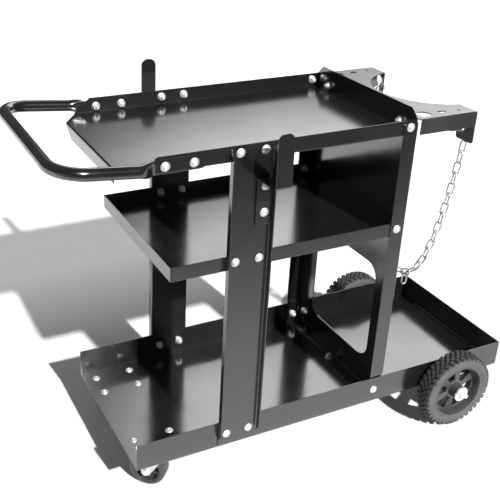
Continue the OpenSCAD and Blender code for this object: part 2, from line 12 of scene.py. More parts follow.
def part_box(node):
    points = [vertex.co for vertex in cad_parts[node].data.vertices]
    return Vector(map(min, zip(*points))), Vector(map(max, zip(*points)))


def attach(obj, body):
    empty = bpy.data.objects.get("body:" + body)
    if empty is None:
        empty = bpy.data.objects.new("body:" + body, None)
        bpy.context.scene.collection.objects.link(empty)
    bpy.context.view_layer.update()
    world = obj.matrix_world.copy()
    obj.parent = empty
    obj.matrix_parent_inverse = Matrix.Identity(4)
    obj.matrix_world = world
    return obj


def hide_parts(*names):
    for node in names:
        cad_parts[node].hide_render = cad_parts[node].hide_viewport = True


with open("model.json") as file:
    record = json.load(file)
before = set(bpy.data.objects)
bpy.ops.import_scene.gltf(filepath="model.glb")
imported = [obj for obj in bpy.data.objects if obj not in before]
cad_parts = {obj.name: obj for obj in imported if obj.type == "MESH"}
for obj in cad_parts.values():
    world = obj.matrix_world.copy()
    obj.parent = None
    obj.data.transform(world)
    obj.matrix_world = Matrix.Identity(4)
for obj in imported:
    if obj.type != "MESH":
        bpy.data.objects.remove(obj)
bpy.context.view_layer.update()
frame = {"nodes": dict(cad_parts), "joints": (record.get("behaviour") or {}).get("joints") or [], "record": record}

random.seed(7)
scene = bpy.context.scene

# Cart frame: millimetres, x from the deck's front edge, z from the deck's underside
deck_lo, deck_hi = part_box("bottom_tray")
X0, Z0 = deck_lo.x, deck_lo.z
HW = deck_hi.y * 1000.0


def L(x, y, z):
    return Vector((X0 + x / 1000.0, y / 1000.0, Z0 + z / 1000.0))


# ---------------------------------------------------------------- materials
def new_mat(name):
    m = bpy.data.materials.new(name)
    m.use_nodes = True
    nt = m.node_tree
    b = nt.nodes["Principled BSDF"]
    return m, nt, b


def node(nt, kind, **kw):
    n = nt.nodes.new(kind)
    for k, v in kw.items():
        setattr(n, k, v)
    return n


def noise(nt, vec, scale, detail=4.0, rough=0.55, distort=0.0):
    n = node(nt, "ShaderNodeTexNoise")
    n.inputs["Scale"].default_value = scale
    n.inputs["Detail"].default_value = detail
    n.inputs["Roughness"].default_value = rough
    n.inputs["Distortion"].default_value = distort
    nt.links.new(vec, n.inputs["Vector"])
    return n.outputs["Fac"]


def remap(nt, fac, a, b, c, d):
    n = node(nt, "ShaderNodeMapRange")
    n.inputs["From Min"].default_value = a
    n.inputs["From Max"].default_value = b
    n.inputs["To Min"].default_value = c
    n.inputs["To Max"].default_value = d
    nt.links.new(fac, n.inputs["Value"])
    return n.outputs["Result"]


def ramp(nt, fac, stops):
    n = node(nt, "ShaderNodeValToRGB")
    e = n.color_ramp.elements
    while len(e) < len(stops):
        e.new(0.5)
    for el, (p, c) in zip(e, stops):
        el.position = p
        el.color = (c[0], c[1], c[2], 1.0)
    nt.links.new(fac, n.inputs["Fac"])
    return n.outputs["Color"]


def mathn(nt, op, a, b=None):
    n = node(nt, "ShaderNodeMath", operation=op)
    for i, v in enumerate((a, b)):
        if v is None:
            continue
        if isinstance(v, (int, float)):
            n.inputs[i].default_value = v
        else:
            nt.links.new(v, n.inputs[i])
    return n.outputs[0]


def mixc(nt, fac, a, b):
    n = node(nt, "ShaderNodeMix", data_type="RGBA")
    nt.links.new(fac, n.inputs["Factor"])
    for sock, v in ((n.inputs[6], a), (n.inputs[7], b)):
        if isinstance(v, tuple):
            sock.default_value = (v[0], v[1], v[2], 1.0)
        else:
            nt.links.new(v, sock)
    return n.outputs[2]


def bump(nt, bsdf, height, strength, dist, chain=None):
    n = node(nt, "ShaderNodeBump")
    n.inputs["Strength"].default_value = strength
    n.inputs["Distance"].default_value = dist
    nt.links.new(height, n.inputs["Height"])
    if chain is not None:
        nt.links.new(chain, n.inputs["Normal"])
    if bsdf is not None:
        nt.links.new(n.outputs["Normal"], bsdf.inputs["Normal"])
    return n.outputs["Normal"]


def coords(nt):
    return node(nt, "ShaderNodeTexCoord").outputs["Object"]


def black_paint(name, base=0.008, ior=2.2, rough=(0.12, 0.19)):
    """Gloss black powder coat: orange peel, faint dust, and convex edges painted lighter grey, partly edge wear and
    partly a painted edge highlight.
    """
    m, nt, b = new_mat(name)
    c = coords(nt)
    big = noise(nt, c, 9.0, 5.0, 0.6)
    fine = noise(nt, c, 240.0, 2.0, 0.5)
    dust = noise(nt, c, 55.0, 6.0, 0.7)
    col = ramp(nt, big, [(0.25, (base * 0.8, base * 0.8, base * 0.83)), (0.75, (base * 1.35, base * 1.35, base * 1.4))])
    dmask = remap(nt, dust, 0.62, 0.8, 0.0, 0.10)
    col = mixc(nt, dmask, col, (0.22, 0.21, 0.20))
    geo = node(nt, "ShaderNodeNewGeometry")
    # Convex edges (pointiness) are mixed towards light grey in noisy patches: edge wear together with a painted
    # highlight along the sheet edges.
    edge = remap(nt, geo.outputs["Pointiness"], 0.56, 0.70, 0.0, 1.0)
    edge_wear_and_highlight = mathn(nt, "MULTIPLY", edge, remap(nt, noise(nt, c, 80.0, 4.0), 0.5, 0.7, 0.0, 0.55))
    col = mixc(nt, edge_wear_and_highlight, col, (0.30, 0.30, 0.30))
    nt.links.new(col, b.inputs["Base Color"])
    r = remap(nt, big, 0.3, 0.7, rough[0], rough[1])
    r = mathn(nt, "ADD", r, mathn(nt, "MULTIPLY", dmask, 1.6))
    nt.links.new(r, b.inputs["Roughness"])
    b.inputs["IOR"].default_value = ior
    n1 = bump(nt, None, fine, 0.10, 0.0006)
    bump(nt, b, big, 0.05, 0.004, n1)
    return m


def zinc(name, base=(0.80, 0.81, 0.82), rough=(0.22, 0.42), metal=1.0):
    m, nt, b = new_mat(name)
    c = coords(nt)
    a = noise(nt, c, 130.0, 5.0, 0.6)
    s = noise(nt, c, 700.0, 2.0)
    col = ramp(nt, a, [(0.3, tuple(x * 0.78 for x in base)), (0.55, base), (0.8, (0.88, 0.86, 0.80))])
    nt.links.new(col, b.inputs["Base Color"])
    b.inputs["Metallic"].default_value = metal
    nt.links.new(remap(nt, a, 0.3, 0.7, rough[0], rough[1]), b.inputs["Roughness"])
    bump(nt, b, s, 0.08, 0.0003)
    return m


def rubber(name, base=0.055, rough=(0.55, 0.8), ior=1.5):
    m, nt, b = new_mat(name)
    c = coords(nt)
    a = noise(nt, c, 30.0, 6.0, 0.65)
    g = noise(nt, c, 420.0, 4.0, 0.6)
    col = ramp(nt, a, [(0.3, (base * 0.7,) * 3), (0.6, (base, base, base * 0.98)), (0.85, (base * 1.9, base * 1.85, base * 1.75))])
    nt.links.new(col, b.inputs["Base Color"])
    nt.links.new(remap(nt, a, 0.3, 0.7, rough[0], rough[1]), b.inputs["Roughness"])
    b.inputs["IOR"].default_value = ior
    bump(nt, b, g, 0.25, 0.0005)
    return m


def plastic(name, base=(0.03, 0.03, 0.03), rough=(0.3, 0.45), ior=1.5):
    m, nt, b = new_mat(name)
    c = coords(nt)
    a = noise(nt, c, 40.0, 5.0)
    g = noise(nt, c, 600.0, 2.0)
    col = ramp(nt, a, [(0.3, tuple(x * 0.75 for x in base)), (0.75, tuple(x * 1.3 for x in base))])
    nt.links.new(col, b.inputs["Base Color"])
    nt.links.new(remap(nt, a, 0.3, 0.7, rough[0], rough[1]), b.inputs["Roughness"])
    b.inputs["IOR"].default_value = ior
    bump(nt, b, g, 0.12, 0.0004)
    return m


M_BLACK = black_paint("black_powder_coat")
M_YOKE = black_paint("black_powder_coat_yoke", base=0.02, rough=(0.2, 0.32))
M_ZINC = zinc("bright_zinc", base=(0.9, 0.9, 0.91), rough=(0.38, 0.55), metal=0.75)
M_CHAIN = zinc("zinc_chain", rough=(0.25, 0.5))
M_FORK = zinc("pressed_zinc", rough=(0.3, 0.5))
M_TYRE = rubber("tyre_rubber", base=0.10)


def paint_tread_shade(m):
    """Painted shade: the tread band past the shoulder is mixed towards near-black by radius from the wheel centre, so
    it reads darker than the sidewall.
    """
    nt = m.node_tree
    b = nt.nodes["Principled BSDF"]
    c = coords(nt)
    sep = node(nt, "ShaderNodeSeparateXYZ")
    nt.links.new(c, sep.inputs[0])
    dx = mathn(nt, "SUBTRACT", sep.outputs["X"], 0.32275)
    dz = mathn(nt, "SUBTRACT", sep.outputs["Z"], 0.075)
    r = mathn(nt, "SQRT", mathn(nt, "ADD", mathn(nt, "MULTIPLY", dx, dx), mathn(nt, "MULTIPLY", dz, dz)))
    # painted shade mask: 0 inside the shoulder, up to 0.72 on the outer tread
    f = remap(nt, r, 0.0690, 0.0735, 0.0, 0.72)
    src = b.inputs["Base Color"].links[0].from_socket
    nt.links.new(mixc(nt, f, src, (0.022, 0.022, 0.022)), b.inputs["Base Color"])


paint_tread_shade(M_TYRE)
M_TREAD = rubber("caster_rubber", base=0.05, rough=(0.3, 0.5))
M_RIM = plastic("black_rim_plastic", base=(0.06, 0.06, 0.061), rough=(0.25, 0.4), ior=1.7)
M_HUB = plastic("caster_hub_plastic", base=(0.05, 0.05, 0.05))
M_NYLON = plastic("natural_nylon", base=(0.62, 0.6, 0.55), rough=(0.35, 0.5))

SLOT_MAT = {"black_steel": M_BLACK, "zinc": M_ZINC, "tyre_rubber": M_TYRE, "tread_rubber": M_TREAD,
            "rim_plastic": M_RIM, "hub_plastic": M_HUB, "bush_plastic": M_NYLON}
node_slot = {s["node"]: s["material_slot"] for s in frame["record"]["subparts"]}
for name, o in frame["nodes"].items():
    mat = SLOT_MAT[node_slot[name]]
    o.data.materials.clear()
    o.data.materials.append(mat)


# ---------------------------------------------------------------- mesh tools
def shade(o, angle=50.0, weighted=True):
    me = o.data
    me.polygons.foreach_set("use_smooth", [True] * len(me.polygons))
    bm = bmesh.new()
    bm.from_mesh(me)
    lim = math.radians(angle)
    for e in bm.edges:
        e.smooth = not (len(e.link_faces) == 2 and e.calc_face_angle(0.0) > lim)
    bm.to_mesh(me)
    bm.free()
    if weighted:
        w = o.modifiers.new("face_weights", "WEIGHTED_NORMAL")
        w.mode = "FACE_AREA"
        w.weight = 80
        w.keep_sharp = True
    return o


def finish_piece(name, bm, mat, body, nodes, angle=50.0, weighted=True):
    """bm is in metres, in the row frame."""
    bmesh.ops.recalc_face_normals(bm, faces=bm.faces)
    me = bpy.data.meshes.new(name)
    bm.to_mesh(me)
    bm.free()
    o = bpy.data.objects.new(name, me)
    scene.collection.objects.link(o)
    me.materials.append(mat)
    shade(o, angle, weighted)
    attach(o, body)
    if nodes:
        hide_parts(*nodes)
    return o


def area2(p):
    return sum(p[i][0] * p[(i + 1) % len(p)][1] - p[(i + 1) % len(p)][0] * p[i][1] for i in range(len(p))) / 2


def inside(p, poly):
    x, y = p
    hit = False
    n = len(poly)
    for i in range(n):
        x0, y0 = poly[i]
        x1, y1 = poly[(i + 1) % n]
        if (y0 > y) != (y1 > y) and x < (x1 - x0) * (y - y0) / (y1 - y0) + x0:
            hit = not hit
    return hit


def inset(poly, d):
    """Moves each corner of a closed outline to its left by d, mitred."""
    out = []
    n = len(poly)
    for i in range(n):
        p, q, r = poly[i - 1], poly[i], poly[(i + 1) % n]
        a = Vector((q[0] - p[0], q[1] - p[1])).normalized()
        b = Vector((r[0] - q[0], r[1] - q[1])).normalized()
        na, nb = Vector((-a.y, a.x)), Vector((-b.y, b.x))
        m = na + nb
        k = m.dot(na)
        m = m / k if abs(k) > 0.25 else na
        out.append((q[0] + m.x * d, q[1] + m.y * d))
    return out


def circle(cx, cy, r, n=40, a0=0.0, a1=360.0):
    full = abs(a1 - a0) >= 359.9
    k = n if full else n + 1
    return [(cx + r * math.cos(math.radians(a0 + (a1 - a0) * i / n)), cy + r * math.sin(math.radians(a0 + (a1 - a0) * i / n))) for i in range(k)]


def plate(outer, holes, t, bev=0.3):
    """A closed plate in mm on the w axis, with rounded arrises. Returns a bmesh."""
    loops = []
    for i, p in enumerate([outer] + list(holes)):
        p = list(p)
        if (area2(p) > 0) != (i == 0):
            p.reverse()
        loops.append(p)
    layers = [(t / 2, bev), (t / 2 - bev * 0.29, bev * 0.29), (t / 2 - bev, 0.0),
              (-t / 2 + bev, 0.0), (-t / 2 + bev * 0.29, bev * 0.29), (-t / 2, bev)]
    bm = bmesh.new()
    rings = []
    for lp in loops:
        rings.append([[bm.verts.new((x, y, z)) for x, y in inset(lp, d)] for z, d in layers])
    for r in rings:
        n = len(r[0])
        for k in range(len(layers) - 1):
            for i in range(n):
                j = (i + 1) % n
                bm.faces.new((r[k][i], r[k + 1][i], r[k + 1][j], r[k][j]))
    for k in (0, len(layers) - 1):
        pts, edges, who = [], [], []
        for r in rings:
            base = len(pts)
            n = len(r[k])
            pts += [Vector((v.co.x, v.co.y)) for v in r[k]]
            who += r[k]
            edges += [(base + i, base + (i + 1) % n) for i in range(n)]
        res = delaunay_2d_cdt(pts, edges, [], 0, 1e-5)
        vs, fs, orig = res[0], res[2], res[3]
        polys = [[(v.co.x, v.co.y) for v in r[k]] for r in rings]
        for f in fs:
            c = sum((vs[i] for i in f), Vector((0, 0))) / len(f)
            if not inside(c, polys[0]) or any(inside(c, h) for h in polys[1:]):
                continue
            idx = [who[orig[i][0]] for i in f]
            try:
                bm.faces.new(idx if k == 0 else idx[::-1])
            except ValueError:
                pass
    bmesh.ops.remove_doubles(bm, verts=bm.verts, dist=1e-4)
    return bm


def fold_cuts(bm, axis, sign, pos, ang, rin, t, n=7):
    ln = abs(ang) * (rin + t / 2)
    for i in range(n + 1):
        co = Vector((0, 0, 0))
        no = Vector((0, 0, 0))
        co[axis] = pos + sign * ln * i / n
        no[axis] = 1.0
        bmesh.ops.bisect_plane(bm, geom=bm.verts[:] + bm.edges[:] + bm.faces[:], dist=1e-5, plane_co=co, plane_no=no)


def apply_fold(P, F, axis, sign, pos, ang, rin, t, pred):
    rn = rin + t / 2
    ln = abs(ang) * rn
    up = 1.0 if ang > 0 else -1.0
    a = abs(ang)
    sf = sign * (F[:, axis] - pos)
    on = (sf > 1e-6) & pred(F)
    s = sign * (P[:, axis] - pos)
    w = P[:, 2] * up
    arc = on & (sf < ln - 1e-6)
    far = on & ~arc
    phi = np.clip(s / rn, 0, a)
    ns, nw = s.copy(), w.copy()
    ns[arc] = ((rn - w) * np.sin(phi))[arc]
    nw[arc] = (rn - (rn - w) * np.cos(phi))[arc]
    ox, ow = rn * math.sin(a), rn - rn * math.cos(a)
    ns[far] = (ox + (s - ln) * math.cos(a) - w * math.sin(a))[far]
    nw[far] = (ow + (s - ln) * math.sin(a) + w * math.cos(a))[far]
    P[on, axis] = (pos + sign * ns)[on]
    P[on, 2] = (nw * up)[on]


def folded(name, outer, holes, t, folds, basis, body, nodes, mat=None, bev=0.3, warp=None, extra_cuts=()):
    """folds: (axis, sign, pos, degrees, inner radius, predicate), outermost first.
    basis(u, v, w) gives the cart-frame point in mm."""
    bm = plate(outer, holes, t, bev)
    for ax, sg, pos, deg, rin, pred in folds:
        fold_cuts(bm, ax, sg, pos, math.radians(deg), rin, t)
    for ax, pos in extra_cuts:
        co = Vector((0, 0, 0)); no = Vector((0, 0, 0))
        co[ax] = pos; no[ax] = 1
        bmesh.ops.bisect_plane(bm, geom=bm.verts[:] + bm.edges[:] + bm.faces[:], dist=1e-5, plane_co=co, plane_no=no)
    bm.verts.ensure_lookup_table()
    F = np.array([v.co[:] for v in bm.verts])
    P = F.copy()
    for ax, sg, pos, deg, rin, pred in folds:
        apply_fold(P, F, ax, sg, pos, math.radians(deg), rin, t, pred)
    if warp:
        P = warp(P, F)
    for v, p in zip(bm.verts, P):
        v.co = L(*basis(*p))
    return finish_piece(name, bm, mat or M_BLACK, body, nodes)


def hp(deg):
    return math.pi / 180 * deg


ROOT = "cart_frame"
yes = lambda F: np.ones(len(F), bool)

# ---------------------------------------------------------------- trays
T = 1.5
RI = 1.0
RO = RI + T
AL = hp(90) * (RI + T / 2)
DECK_L, DECK_W = 770.0, 52.0
CX, CY, CBX, CBY = 56.0, 97.0, 33.5, 23.0
POST_X, POST_W = 147.0, 75.0
PANEL_X = 484.0
post_bx = [POST_X + 16.5, POST_X + 58.5]
MID_Z, TOP_Z, RIM = 343.0, 523.0, 25.5
post_bz = [26.0, MID_Z + 14, TOP_Z + 14]
HR = 3.3


def wall_v(h):
    """flat v of a point h above the tray's underside on a side wall"""
    return HW - RO + AL + h - RO


def bottom_tray():
    vt = wall_v(DECK_W)
    ut = DECK_L - RO + AL + DECK_W - RO
    k = DECK_L - RO
    o = [(0, -vt), (k - 0.1, -vt), (k - 0.1, -(HW - RO)), (k + 0.1, -(HW - RO)), (k + AL, -(HW - 0.3)), (ut, -(HW - 0.3)),
         (ut, HW - 0.3), (k + AL, HW - 0.3), (k + 0.1, HW - RO), (k - 0.1, HW - RO), (k - 0.1, vt), (0, vt)]
    holes = [circle(x, s * wall_v(26), HR) for s in (-1, 1) for x in post_bx + [470.0]]
    holes += [circle(CX + i * CBX, s * CY + j * CBY, HR) for s in (-1, 1) for i in (-1, 1) for j in (-1, 1)]
    holes += [circle(470.0, 0, HR)]
    side_p = lambda F: F[:, 0] < k
    end_p = lambda F: F[:, 0] > k
    folds = [(1, -1, -(HW - RO), 90, RI, side_p), (1, 1, HW - RO, 90, RI, side_p), (0, 1, k, 90, RI, end_p)]

    def warp(P, F):
        m = (F[:, 0] > k - 8) & (F[:, 0] < k) & (np.abs(F[:, 1]) > HW - RO)
        P[m, 0] += (F[m, 0] - (k - 8)) / 8 * 1.0
        return P
    folded("deck_sheet", o, holes, T, folds, lambda u, v, w: (u, v, w + T / 2), ROOT, ["bottom_tray"], warp=warp, extra_cuts=[(0, k - 8)])


def middle_tray():
    x0 = 55.0
    k = x0 + RO
    vt = wall_v(RIM)
    ut = k - AL - (RIM - RO)
    o = [(PANEL_X, -vt), (PANEL_X, vt), (k + 0.1, vt), (k + 0.1, HW - RO), (k - 0.1, HW - RO), (k - AL, HW - 0.3), (ut, HW - 0.3),
         (ut, -(HW - 0.3)), (k - AL, -(HW - 0.3)), (k - 0.1, -(HW - RO)), (k + 0.1, -(HW - RO)), (k + 0.1, -vt)]
    holes = [circle(x, s * wall_v(14), HR) for s in (-1, 1) for x in post_bx + [470.0]]
    side_p = lambda F: F[:, 0] > k
    end_p = lambda F: F[:, 0] < k
    folds = [(1, -1, -(HW - RO), 90, RI, side_p), (1, 1, HW - RO, 90, RI, side_p), (0, -1, k, 90, RI, end_p)]

    def warp(P, F):
        m = (F[:, 0] < k + 8) & (F[:, 0] > k) & (np.abs(F[:, 1]) > HW - RO)
        P[m, 0] -= ((k + 8) - F[m, 0]) / 8 * 1.0
        return P
    folded("middle_shelf_sheet", o, holes, T, folds, lambda u, v, w: (u, v, MID_Z + w + T / 2), ROOT, ["middle_tray"], warp=warp, extra_cuts=[(0, k + 8)])


def top_tray():
    k = PANEL_X - RO
    vt = wall_v(RIM)
    f = 6.5
    a1, R1 = 101.0, 1.5
    k2 = -16.5
    l2 = 28.0
    back = 41.0
    ut = k + AL + back - RO
    ue = k + AL + RIM - RO
    o = [(f + 0.2, -(HW - RO)), (f + 0.2, -(HW - RO + AL)), (33.0, -vt), (k - 0.1, -vt), (k - 0.1, -(HW - RO)),
         (k + 0.1, -(HW - RO)), (k + AL, -(HW - 0.3)), (ue, -(HW - 0.3)), (ut, -129.0), (ut, 129.0), (ue, HW - 0.3), (k + AL, HW - 0.3),
         (k + 0.1, HW - RO), (k - 0.1, HW - RO), (k - 0.1, vt), (33.0, vt), (f + 0.2, HW - RO + AL), (f + 0.2, HW - RO),
         (f - 0.2, HW - RO), (k2, 112.2), (k2 - 1.5, 110.0), (k2 - l2, 98.0),
         (k2 - l2, -98.0), (k2 - 1.5, -110.0), (k2, -112.2), (f - 0.2, -(HW - RO))]
    holes = [circle(x, s * wall_v(14), HR) for s in (-1, 1) for x in post_bx + [470.0]]
    holes += [circle(x, s * wall_v(10.7), HR) for s in (-1, 1) for x in (44.0, 89.0)]
    holes += [circle(k + AL + 12 - RO, s * 105.0, HR) for s in (-1, 1)]
    side_p = lambda F: (F[:, 0] < k) & (F[:, 0] > f)
    end_p = lambda F: F[:, 0] > k
    lip_p = lambda F: F[:, 0] < f
    folds = [(1, -1, -(HW - RO), 90, RI, side_p), (1, 1, HW - RO, 90, RI, side_p), (0, 1, k, 90, RI, end_p),
             (0, -1, k2, -a1, R1, lip_p)]

    def warp(P, F):
        m = (F[:, 0] > k - 8) & (F[:, 0] < k) & (np.abs(F[:, 1]) > HW - RO)
        P[m, 0] += (F[m, 0] - (k - 8)) / 8 * 1.0
        return P
    folded("top_shelf_sheet", o, holes, T, folds, lambda u, v, w: (u, v, TOP_Z + w + T / 2), ROOT, ["top_tray"], warp=warp, extra_cuts=[(0, k - 8)])


# ---------------------------------------------------------------- posts
def post(name, nodename, turn):
    t, ri = 2.0, 1.5
    ro = ri + t
    al = hp(90) * (ri + t / 2)
    h = 542.5
    a, b = POST_X + ro, POST_X + POST_W - ro
    ua, ub = a - al - (12.5 - ro), b + al + (12.5 - ro)
    o = [(POST_X + 0.5, 4), (POST_X + POST_W - 0.5, 4), (POST_X + POST_W, 4.8), (POST_X + POST_W, 18.4), (b, 18.4), (b, 19.4),
         (b + al, 20.0), (ub, 27), (ub, h - 13), (b + al, h - 1.5), (b, h), (a, h), (a - al, h - 1.5), (ua, h - 13),
         (ua, 27), (a - al, 20.0), (a, 19.4), (a, 18.4), (POST_X, 18.4), (POST_X, 4.8)]
    holes = [circle(x, z, HR) for x in post_bx for z in post_bz] + [circle(POST_X + 60.5, z + (10.0 if turn else 0.0), HR) for z in (480.0, 436.0)]
    p = lambda F: F[:, 1] > 19
    folds = [(0, -1, a, 90, ri, p), (0, 1, b, 90, ri, p)]
    if turn:
        basis = lambda u, v, w: (2 * POST_X + POST_W - u, HW + t / 2 + w, v)
    else:
        basis = lambda u, v, w: (u, -HW - t / 2 - w, v)
    folded(name, o, holes, t, folds, basis, ROOT, [nodename])


# ---------------------------------------------------------------- rear panel
def rear_panel():
    t, ri = 2.0, 1.5
    ro = ri + t
    al = hp(90) * (ri + t / 2)
    half = HW + t
    k = half - ro
    dep = 29.0 - ro
    ve = k + al + dep
    kb = 1.5 + ro
    vb = kb - al - dep
    top = TOP_Z + 20
    wb = half - 6.0
    o = [(-wb + 5, vb), (wb - 5, vb), (wb, vb + 5), (wb, kb + 0.2), (k, kb + 0.2), (k, kb + 0.6), (k + al, kb + 1.5), (ve, kb + 6), (ve, top - 4), (ve - 4, top),
         (-ve + 4, top), (-ve, top - 4), (-ve, kb + 6), (-k - al, kb + 1.5), (-k, kb + 0.6), (-k, kb + 0.2), (-wb, kb + 0.2), (-wb, vb + 5)]
    win = []
    for sx, sy, a0 in ((1, 0, -90), (1, 1, 0), (-1, 1, 90), (-1, 0, 180)):
        win += circle(sx * (94 - 28), 57 + (197 - 28 if sy else 28), 28, 14, a0, a0 + 90)
    fl = k + al + (16 - ro)
    holes = [win] + [circle(s * fl, z, HR, 24) for s in (-1, 1) for z in post_bz]
    holes += [circle(0, kb - al - (16 - ro), HR, 24)] + [circle(s * 105.0, TOP_Z + 12, HR, 24) for s in (-1, 1)]
    ps = lambda F: (F[:, 1] > kb + 0.3)
    pb = lambda F: (F[:, 1] < kb)
    folds = [(0, -1, -k, 90, ri, ps), (0, 1, k, 90, ri, ps), (1, -1, kb, 90, ri, pb)]

    def warp(P, F):
        z = P[:, 1]
        s = np.clip((60.0 - z) / 8.0, 0, 1)
        s = s * s * (3 - 2 * s) * (F[:, 1] > kb)
        s = np.where(F[:, 1] <= kb, 1.0, s)
        e = np.clip((np.abs(P[:, 0]) - 138.0) / 6.0, 0, 1)
        P[:, 0] -= np.sign(P[:, 0]) * 3.6 * s * e
        return P
    folded("rear_panel_sheet", o, holes, t, folds, lambda u, v, w: (PANEL_X + t / 2 - w, u, v), ROOT, ["rear_panel"],
           warp=warp, extra_cuts=[(1, z) for z in (52, 54, 56, 58, 60)] + [(0, s * 138.0) for s in (-1, 1)])


# ---------------------------------------------------------------- bottle yoke
def yoke():
    t, ri = 2.0, 1.5
    ro = ri + t
    al = hp(90) * (ri + t / 2)
    half = HW + t
    x0, x1 = PANEL_X + 2, PANEL_X + 124
    zt = TOP_Z + 24.5
    ku, kf, kv = x1 - ro, x0 + ro, half - ro
    tab = ku + al + 58 - ro
    s0 = kv + al + 26 - ro
    ff = kf - al - (26 - ro)
    a_end = math.degrees(math.asin(104.6 / 107.0))
    arc = circle(629.0, 0, 107.0, 72, 180 - a_end, 180 + a_end)
    ax = arc[-1]
    o = list(arc)                                  # from +y end round to the -y end
    o += [(ku + 0.05, -104.9), (ku + al, -105.2), (tab - 3, -105.2), (tab, -108.2), (tab, -(half - 5.2)), (tab - 3, -(half - 2.2)), (ku + al, -(half - 2.2)),
          (ku + 0.1, -kv), (ku - 0.1, -kv), (ku - 0.1, -s0), (x0 + 5, -s0), (x0 + 5, -kv), (kf, -140.0), (ff + 3, -140.0), (ff, -137.0),
          (ff, 137.0), (ff + 3, 140.0), (kf, 140.0), (x0 + 5, kv), (x0 + 5, s0), (ku - 0.1, s0), (ku - 0.1, kv), (ku + 0.1, kv),
          (ku + al, half - 2.2), (tab - 3, half - 2.2), (tab, half - 5.2), (tab, 108.2), (tab - 3, 105.2), (ku + al, 105.2), (ku + 0.05, 104.9)]
    key_u = ku + al + (zt - (TOP_Z + 7)) - ro
    neck_u = ku + al + (zt - 506.25) - ro
    holes = []
    for s in (-1, 1):
        g = math.degrees(math.asin(2.75 / 8.0))
        kh = circle(key_u, s * 120.0, 8.0, 36, g, 360 - g)
        kh += circle(neck_u, s * 120.0, 2.75, 12, -90, 90)
        holes.append(kh)
        holes.append(circle(PANEL_X + 28, s * 125.0, 12.0, 48))
        holes.append(circle(PANEL_X + 68, s * 126.0, 4.0, 12, -90, 90) + circle(PANEL_X + 62, s * 126.0, 4.0, 12, 90, 270))
        holes.append(circle(PANEL_X + 98, s * 129.0, 2.6, 20))
        holes.append(circle(kf - al - (12.5 - ro), s * 105.0, HR, 24))
    tabs = lambda F: (F[:, 0] > ku)
    front = lambda F: (F[:, 0] < kf) & (np.abs(F[:, 1]) < 141)
    sides = lambda F: (F[:, 0] < ku) & (F[:, 0] > x0 + 4.9)
    folds = [(0, 1, ku, -90, ri, tabs), (0, -1, kf, -90, ri, front), (1, -1, -kv, -90, ri, sides), (1, 1, kv, -90, ri, sides)]
    folded("bottle_yoke_sheet", o, holes, t, folds, lambda u, v, w: (u, v, zt - t / 2 + w), ROOT, ["tank_bracket"], mat=M_YOKE)


# ---------------------------------------------------------------- cable hooks
def hook(name, nodename, turn):
    t, ri, w_ = 3.0, 2.0, 27.0
    ro = ri + t
    al = hp(90) * (ri + t / 2)
    xa = POST_X + POST_W - 2 - 0.3 - w_
    xb = xa + w_
    k1 = 496.0 - ro
    k2 = k1 + al + (55.0 - 2 * ro)
    lift = 10.0 if turn else 0.0
    top = k2 + al + (83.0 + 3 - ro)
    o = circle(xa + 3, 417, 3, 6, 180, 270) + circle(xb - 3, 417, 3, 6, 270, 360)
    o += circle(xb - 12, top - 12, 12, 14, 0, 90) + circle(xa + 12, top - 12, 12, 14, 90, 180)
    holes = [circle(POST_X + 60.5, z, HR, 24) for z in (480.0, 436.0)]
    folds = [(1, 1, k2, -90, ri, yes), (1, 1, k1, 90, ri, yes)]
    if turn:
        basis = lambda u, v, w: (2 * POST_X + POST_W - u, HW + 2 + t / 2 + w, v + lift)
    else:
        basis = lambda u, v, w: (u, -HW - 2 - t / 2 - w, v)
    folded(name, o, holes, t, folds, basis, ROOT, [nodename], bev=0.45)


bottom_tray()
middle_tray()
top_tray()
post("post_near_sheet", "post_near", False)
post("post_far_sheet", "post_far", True)
rear_panel()
yoke()
hook("hook_near_strip", "hook_near", False)
hook("hook_far_strip", "hook_far", True)


# ---------------------------------------------------------------- swept and turned shapes
def skin(rings, closed_ring=True, loop=False, cap=True):
    """rings: list of lists of points (row frame, metres)."""
    bm = bmesh.new()
    vs = [[bm.verts.new(p) for p in r] for r in rings]
    m = len(vs)
    n = len(vs[0])
    for i in range(m if loop else m - 1):
        a, b = vs[i], vs[(i + 1) % m]
        for j in range(n if closed_ring else n - 1):
            k = (j + 1) % n
            bm.faces.new((a[j], a[k], b[k], b[j]))
    if cap and not loop:
        bm.faces.new(vs[0][::-1])
        bm.faces.new(vs[-1])
    return bm


def lathe(profile, n, mat4):
    """profile: closed list of (r, z) in mm; axis z; mat4 maps mm points to the row frame in metres."""
    bm = bmesh.new()
    rings = []
    for i in range(n):
        a = 2 * math.pi * i / n
        rings.append([bm.verts.new(mat4 @ Vector((r * math.cos(a), r * math.sin(a), z))) for r, z in profile])
    m = len(profile)
    for i in range(n):
        p, q = rings[i], rings[(i + 1) % n]
        for j in range(m):
            k = (j + 1) % m
            bm.faces.new((p[j], p[k], q[k], q[j]))
    bmesh.ops.remove_doubles(bm, verts=bm.verts, dist=1e-7)
    return bm


def frame4(origin, xaxis, yaxis, zaxis):
    """mm frame placed at a cart-frame point (mm)."""
    o = L(*origin)
    m = Matrix.Identity(4)
    for c, v in enumerate((xaxis, yaxis, zaxis)):
        v = Vector(v).normalized() * 0.001
        for r in range(3):
            m[r][c] = v[r]
    m.translation = o
    return m


def merge(bms):
    out = bmesh.new()
    for b in bms:
        me = bpy.data.meshes.new("tmp")
        b.to_mesh(me)
        b.free()
        out.from_mesh(me)
        bpy.data.meshes.remove(me)
    return out


